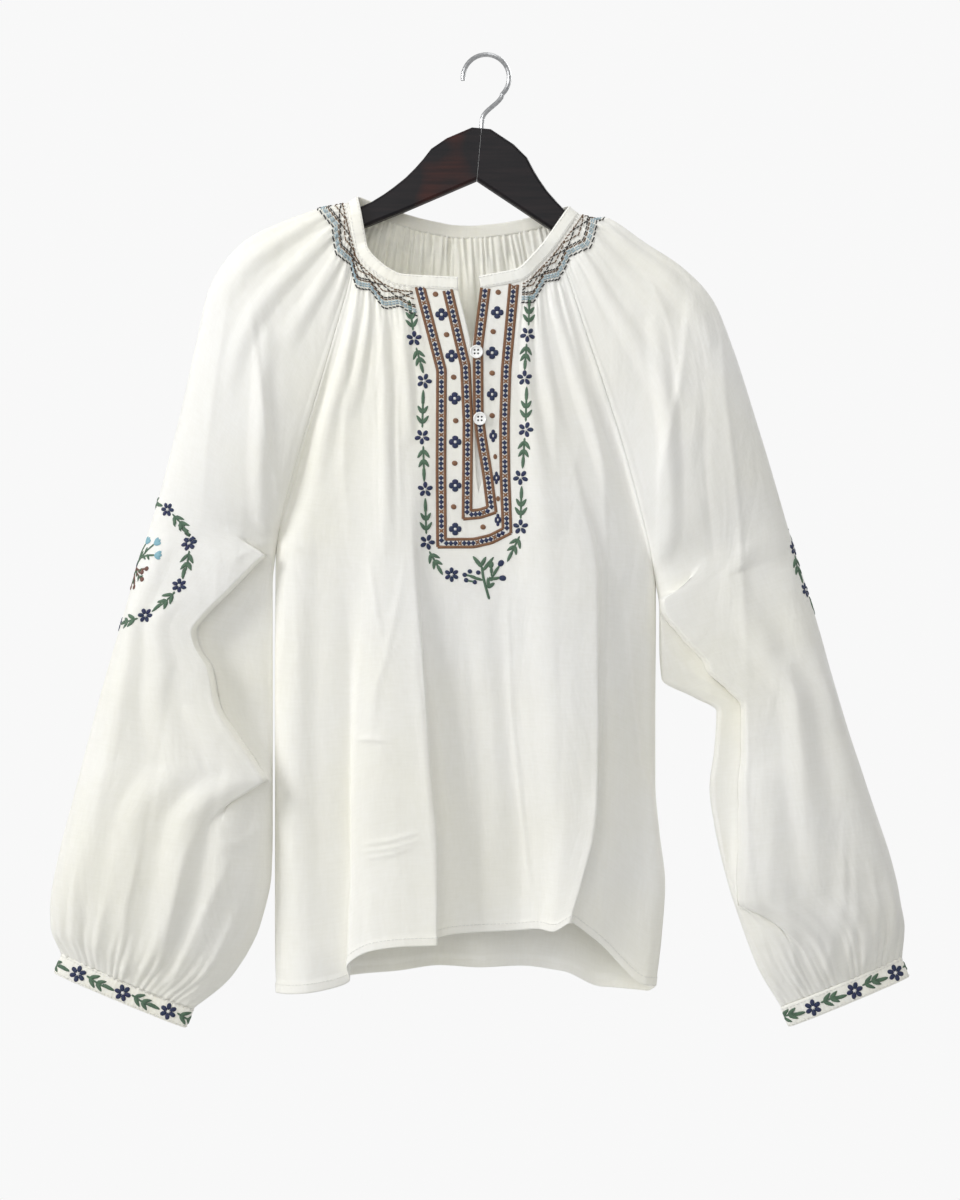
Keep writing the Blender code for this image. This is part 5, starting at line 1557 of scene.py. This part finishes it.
# %% Vines round the cuffs
# A flower of each vine is set where the picture shows one.
CUFF_FLOWERS, CUFF_MIDDLE = 6, 9.2
FLOWER_PIXELS = {"left": 124.2, "right": 853.2}
for side in ("left", "right"):
    lay, whole = on_cuff(side)
    group, pitch = "cuff_vine_" + side, whole / CUFF_FLOWERS
    target = (FLOWER_PIXELS[side] - MIDDLE_PIXEL[0]) * PIXEL * MM
    in_front = [s for s in np.linspace(0, whole, 600) if lay(s, CUFF_MIDDLE, 0).y < 0]
    first = min(in_front, key=lambda s: abs(lay(s, CUFF_MIDDLE, 0).x - target))
    onward = 1 if lay(first + 1, CUFF_MIDDLE, 0).x > lay(first, CUFF_MIDDLE, 0).x else -1
    for k in range(CUFF_FLOWERS):
        s = first + k * pitch
        flower(group, lay, s, CUFF_MIDDLE, 6, 14.6, 0.3 * k)
        start, end = s + onward * 7.6, s + onward * (pitch - 7.8)
        sprig(group, lay, (start, CUFF_MIDDLE - 1.5), (end, CUFF_MIDDLE + 1), size=9.6, bend=1.2)
    print("cuff", side, "mm round:", round(whole))

# %% [markdown]
# ## Smocking
# Smocking holds gathers in even tucks with lines of surface stitches. Here a brown line
# runs below the band. Under it two lines cross, and then a dark pair, a pale blue pair
# and a black line zigzag round the neck. The stitches lie over the tops of the tucks.

# %% Places along the gathered neck
NECK_ROWS, PLACKET_CLEAR = 60, 0.15
NECK_RUN = []
for name, reverse in (("front_left", True), ("sleeve_left", True), ("back", False),
                      ("sleeve_right", False), ("front_right", True)):
    columns = SHEETS[name][1]
    clear = PLACKET_HALF + PLACKET_CLEAR if name.startswith("front") else 0
    keep = np.abs(columns - CENTRE) >= clear
    spots = [(name, i) for i in np.flatnonzero(keep)]
    NECK_RUN += spots[::-1] if reverse else spots
OUTWARD_BARE = {name: outward(BARE[name], SHEETS[name][3]) for name in SHEETS}
NECK_SPOTS = np.array([BARE[name][0, i] for name, i in NECK_RUN])
NECK_MILES = from_zero(step_lengths(NECK_SPOTS))
NECK_DOWN = {name: from_zero(step_lengths(BARE[name][:NECK_ROWS])) for name in SHEETS}
print("neck edge, mm:", round(NECK_MILES[-1]))


def tuck_tops(points):
    """The neck rows of a sheet with their tucks smoothed away, where smocking thread lies."""
    rows = points[:NECK_ROWS].transpose(1, 0, 2)
    return smoothed(rows, 6, False).transpose(1, 0, 2)


SMOCKED = {name: tuck_tops(points) for name, points in FOLDED_POINTS.items()}


def below_neck(t, depth, height):
    """A world point, t mm along the neck edge and depth mm below the band."""
    i = float(np.interp(t, NECK_MILES, np.arange(len(NECK_RUN))))
    (name, a), (other, b) = NECK_RUN[int(i)], NECK_RUN[min(int(i) + 1, len(NECK_RUN) - 1)]
    column = a + (b - a) * (i - int(i)) if name == other else a
    row = float(np.interp(depth, NECK_DOWN[name][:, a], np.arange(NECK_ROWS)))
    spot = between(SMOCKED[name], row, column) + between(OUTWARD_BARE[name], row, column) * height
    return Vector(to_world(spot))


# %% Rows of smocking stitches
# Each row: colour, middle depth, swing outwards, and half a stitch's thickness, all in mm.
# The back's tucks are deeper, so its stitches lie higher over them.
SMOCKING = (("umber", 4.4, 0.0, 0.50), ("black", 8.2, -2.8, 0.55), ("umber", 8.2, 2.8, 0.50),
            ("black", 13.2, 3.6, 0.55), ("umber", 14.9, 3.6, 0.52), ("pale_blue", 17.3, 3.8, 0.65),
            ("pale_blue", 19.3, 3.8, 0.65), ("black", 22.2, 4.2, 0.62))
ZIGZAG, STITCH_LONG, STITCH_GAP, STITCH_LEAN = 27.0, 3.3, 0.35, 0.4
OVER_BACK, OVER_FRONT = 1.8, 0.9


def zigzag(t):
    """From -1 nearest the band to 1 farthest from it."""
    return abs((t / ZIGZAG % 1) * 2 - 1) * 2 - 1


for colour, depth, swing, thick in SMOCKING:
    count = int(NECK_MILES[-1] / STITCH_LONG)
    for k in range(count):
        start, end = (NECK_MILES[-1] * (k + d) / count for d in (0, 1))
        here = depth + swing * zigzag((start + end) / 2)
        lean = STITCH_LEAN * (1 if zigzag(end) > zigzag(start) else -1) * (1 if swing >= 0 else -1)
        owner = NECK_RUN[int(np.searchsorted(NECK_MILES, start))][0]
        over = OVER_BACK if owner == "back" else OVER_FRONT
        a = below_neck(start + STITCH_GAP, here - lean, over)
        b = below_neck(end - STITCH_GAP, here + lean, over)
        if (b - a).length < 2 * STITCH_LONG * MM:
            straight_stitch("smocking", colour, a, b, thick)

# %% [markdown]
# ## Sewing stitches
# A blouse is held by rows of plain white stitches, set close to each edge: along the
# hem, and along both edges of the neckband and of each cuff.

# %% Rows of white stitches
HEM_PLACE, EDGE_IN, THREAD_HALF = 1.9765, 1.4, 0.22


def sewn_row(group, points, long=2.4, gap=1.0):
    """White stitches along a line of world points."""
    line = np.array([tuple(p) for p in points]) / MM
    spots = evenly(line, int(step_lengths(line).sum() / (long + gap)) * 2, False) * MM
    for a, b in zip(spots[:-1:2], spots[1::2]):
        a, b = Vector(a), Vector(b)
        straight_stitch(group, "white", a, a + (b - a) * 1.35, THREAD_HALF)


hem_row = int(np.searchsorted(BODY_PLACES, HEM_PLACE))
for name in ("front_left", "front_right", "back"):
    count = FOLDED_POINTS[name].shape[1]
    sewn_row("hem", [on_sheet(name, hem_row, j, 0.12) for j in np.linspace(0.5, count - 1.5, 300)])
for height in (0.9, NECKBAND_HEIGHT - EDGE_IN):
    sewn_row("neckband", [Vector(to_world(p)) for p in
                          neck[:, :3] + neck_rise * height + neck_away * (BAND_HALF + 0.12)])
for side in ("left", "right"):
    lay, whole = on_cuff(side)
    for v in (EDGE_IN, CUFF_HEIGHT - 1.5):
        sewn_row("cuff_" + side, [lay(s, v, 0.05) for s in np.linspace(0, whole, 200)])

# %% [markdown]
# ## Buttons
# These are small shirt buttons of moulded polyester, which has a milky white and a soft
# gloss. A button is turned from its half outline and drilled four times, and black thread
# fills the holes as painted shade inside them. The frame's box of each plain button says
# where it sits.

# %% Turned and drilled buttons
BUTTON_RADIUS, BUTTON_THICK, BUTTON_STEPS = 5.75, 2.2, 48
HOLE_RADIUS, HOLE_PITCH, HOLE_SIDES = 0.85, 1.5, 16
SHELL, tree, shader = new_material("polyester, moulded and polished")
milk = node(tree, "TexNoise", {"Scale": 180.0, "Detail": 3.0, "Distortion": 1.2},
            {"Vector": node(tree, "TexCoord").outputs["Object"]})
tree.links.new(colour_steps(tree, milk.outputs["Fac"], (0.3, "e9eae8"), (0.7, "fbfbfa")),
               shader.inputs["Base Color"])
rough_between(tree, shader, milk.outputs["Fac"], 0.2, 0.34)
settle(shader, Coat_Weight=0.25)


def drilled(blank, drills):
    """The first shape with the second cut out of it."""
    held = [new_object("blank", blank), new_object("drills", drills)]
    cut = held[0].modifiers.new("holes", "BOOLEAN")
    cut.object = held[1]
    result = bmesh.new()
    result.from_object(held[0], bpy.context.evaluated_depsgraph_get())
    for each in held:
        bpy.data.objects.remove(each)
    return result


def turned_button(name):
    """A button in place of the frame's plain one. Its rim is raised and its holes hold black thread, painted
    shade inside them.
    """
    low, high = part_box(name)
    turn = Matrix.Rotation(math.pi / 2, 4, "X")
    place = Matrix.Translation(((low[0] + high[0]) / 2, high[1], (low[2] + high[2]) / 2)) @ turn
    r, t = BUTTON_RADIUS, BUTTON_THICK
    profile = ((0, 0.05), (r - 1.6, 0.05), (r - 0.7, 0.25), (r - 0.2, 0.7), (r, 1.2), (r - 0.12, t - 0.3),
               (r - 0.45, t - 0.05), (r - 0.8, t), (r - 1.15, t - 0.08), (r - 1.5, t - 0.35),
               (r - 1.9, t - 0.65), (r - 2.5, t - 0.75), (0, t - 0.8))
    sheet = bmesh.new()
    ring = [sheet.verts.new((x * MM, 0, z * MM)) for x, z in profile]
    edges = [sheet.edges.new(pair) for pair in zip(ring[:-1], ring[1:])]
    bmesh.ops.spin(sheet, geom=ring + edges, cent=(0, 0, 0), axis=(0, 0, 1), angle=2 * math.pi,
                   steps=BUTTON_STEPS, use_merge=True)
    bmesh.ops.remove_doubles(sheet, verts=sheet.verts, dist=0.000005)
    bmesh.ops.recalc_face_normals(sheet, faces=sheet.faces)
    # The black thread plugs in the four holes are painted shade: they darken the holes where shade falls.
    drills, hole_shade_plugs = bmesh.new(), stitches("button", "black")
    for across in (-HOLE_PITCH, HOLE_PITCH):
        for up in (-HOLE_PITCH, HOLE_PITCH):
            for kind, z, depth in ((drills, t / 2, 3 * t), (hole_shade_plugs, 0.4, 0.5)):
                spot = Matrix.Translation((across * MM, up * MM, z * MM))
                if kind is hole_shade_plugs:
                    spot = place @ spot
                made = bmesh.ops.create_cone(
                    kind, cap_ends=True, segments=HOLE_SIDES, radius1=HOLE_RADIUS * MM,
                    radius2=HOLE_RADIUS * MM, depth=depth * MM, matrix=spot)["verts"]
                if kind is hole_shade_plugs:
                    finish_shape(kind, made, {vertex: (vertex.co.x, vertex.co.z) for vertex in made})
    sheet = drilled(sheet, drills)
    bmesh.ops.transform(sheet, matrix=place, verts=sheet.verts)
    made = add_piece("turned_" + name, sheet, SHELL)
    made.data.shade_smooth()
    made.data.set_sharp_from_angle(angle=math.radians(35))
    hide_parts(name)
    return made


for name in ("button_upper", "button_lower"):
    button = turned_button(name)
    print(button.name, "faces:", len(button.data.polygons))

# %% Turning the stitches into pieces
STITCH_PIECES = [add_piece(f"stitches_{group}_{colour}", sheet, THREAD_MATERIALS[colour])
                 for (group, colour), sheet in STITCHES.items()]
print("stitched pieces:", len(STITCHES))

# %% [markdown]
# ## Dark stained wood and hook wire
# The hanger is hardwood under a dark, nearly black stain and a thin lacquer. Where the
# lacquer is worn the red-brown of the wood shows. The hook is bright steel wire.

# %% Wood and steel
WOOD, tree, shader = new_material("hardwood, stained dark and lacquered")
spot = node(tree, "TexCoord").outputs["Object"]
grain_space = node(tree, "Mapping", {"Scale": (9, 60, 140)}, {"Vector": spot})
grain = node(tree, "TexNoise", {"Scale": 2.0, "Detail": 5.0, "Distortion": 0.4},
             {"Vector": grain_space.outputs[0]})
patch = node(tree, "TexNoise", {"Scale": 14.0, "Detail": 2.0}, {"Vector": spot})
stain = colour_steps(tree, grain.outputs["Fac"], (0.35, "100f13"), (0.7, "1f191b"))
worn = colour_steps(tree, grain.outputs["Fac"], (0.3, "2d1310"), (0.7, "4f2217"))
where = node(tree, "MapRange", {"From Min": 0.56, "From Max": 0.72}, {"Value": patch.outputs["Fac"]})
blended = node(tree, "Mix", {}, {0: where.outputs[0], 6: stain, 7: worn}, data_type="RGBA")
tree.links.new(blended.outputs[2], shader.inputs["Base Color"])
ridge = node(tree, "Bump", {"Strength": 0.12, "Distance": 0.0004}, {"Height": grain.outputs["Fac"]})
tree.links.new(ridge.outputs[0], shader.inputs["Normal"])
rough_between(tree, shader, patch.outputs["Fac"], 0.38, 0.55)
settle(shader, Specular_IOR_Level=0.2, Coat_Weight=0.05, Coat_Roughness=0.25)

STEEL, tree, shader = new_material("steel wire, bright drawn")
spot = node(tree, "TexCoord").outputs["Object"]
drawn = node(tree, "TexNoise", {"Scale": 420.0, "Detail": 2.0}, {"Vector": spot})
tint = colour_steps(tree, drawn.outputs["Fac"], (0.3, "b4b6b8"), (0.7, "d2d3d4"))
tree.links.new(tint, shader.inputs["Base Color"])
rough_between(tree, shader, drawn.outputs["Fac"], 0.18, 0.36)
settle(shader, Metallic=1.0)

for name, finish in (("hanger_arm_left", WOOD), ("hanger_arm_right", WOOD), ("hook", STEEL)):
    frame["nodes"][name].material_slots[0].material = finish

# %% [markdown]
# ## The floor
# A round of pale matt paper lies below the blouse and throws soft light up under its
# folds. It is too low and too small to show in the front view.

# %% Floor
FLOOR_DROP, FLOOR_RADIUS, FLOOR_SIDES = 1.9, 1.4, 96
PAPER, tree, shader = new_material("paper, matt white")
spot = node(tree, "TexCoord").outputs["Object"]
fibre = node(tree, "TexNoise", {"Scale": 60.0, "Detail": 3.0}, {"Vector": spot})
tone = colour_steps(tree, fibre.outputs["Fac"], (0.3, "e4e4e2"), (0.7, "ebebe9"))
tree.links.new(tone, shader.inputs["Base Color"])
settle(shader, Roughness=0.95)
round_sheet = bmesh.new()
bmesh.ops.create_circle(round_sheet, cap_ends=True, segments=FLOOR_SIDES, radius=FLOOR_RADIUS,
                        matrix=Matrix.Translation((0, 0, -FLOOR_DROP)))
bmesh.ops.recalc_face_normals(round_sheet, faces=round_sheet.faces)
new_object("floor", round_sheet, PAPER)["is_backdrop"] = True

# %% [markdown]
# ## Stitches gathered by what they lie on
# The stitched pieces that lie on the neckband, on the cuffs and on the cuffs' vines are
# gathered by name.

# %% Gathering the stitches
sewn_on = {name: [o for o in STITCH_PIECES if name in o.name] for name in
           ("neckband", "cuff_left", "cuff_right", "cuff_vine_left", "cuff_vine_right")}
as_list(sewn_on["neckband"])

# %% Sizes, and the end
total = 0
depsgraph = bpy.context.evaluated_depsgraph_get()
for each in bpy.context.scene.objects:
    if each.type == "MESH" and each.name not in frame["nodes"]:
        mesh = each.evaluated_get(depsgraph).to_mesh()
        total += sum(len(face.vertices) - 2 for face in mesh.polygons)
print("triangles in all:", total)
VISUAL_BOX = [list(corner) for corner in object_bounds()]
for axis in range(3):
    low = round((CAD_BOX[0][axis] - VISUAL_BOX[0][axis]) / MM, 1)
    high = round((VISUAL_BOX[1][axis] - CAD_BOX[1][axis]) / MM, 1)
    print("beyond the solids on axis", axis, "mm:", low, high)
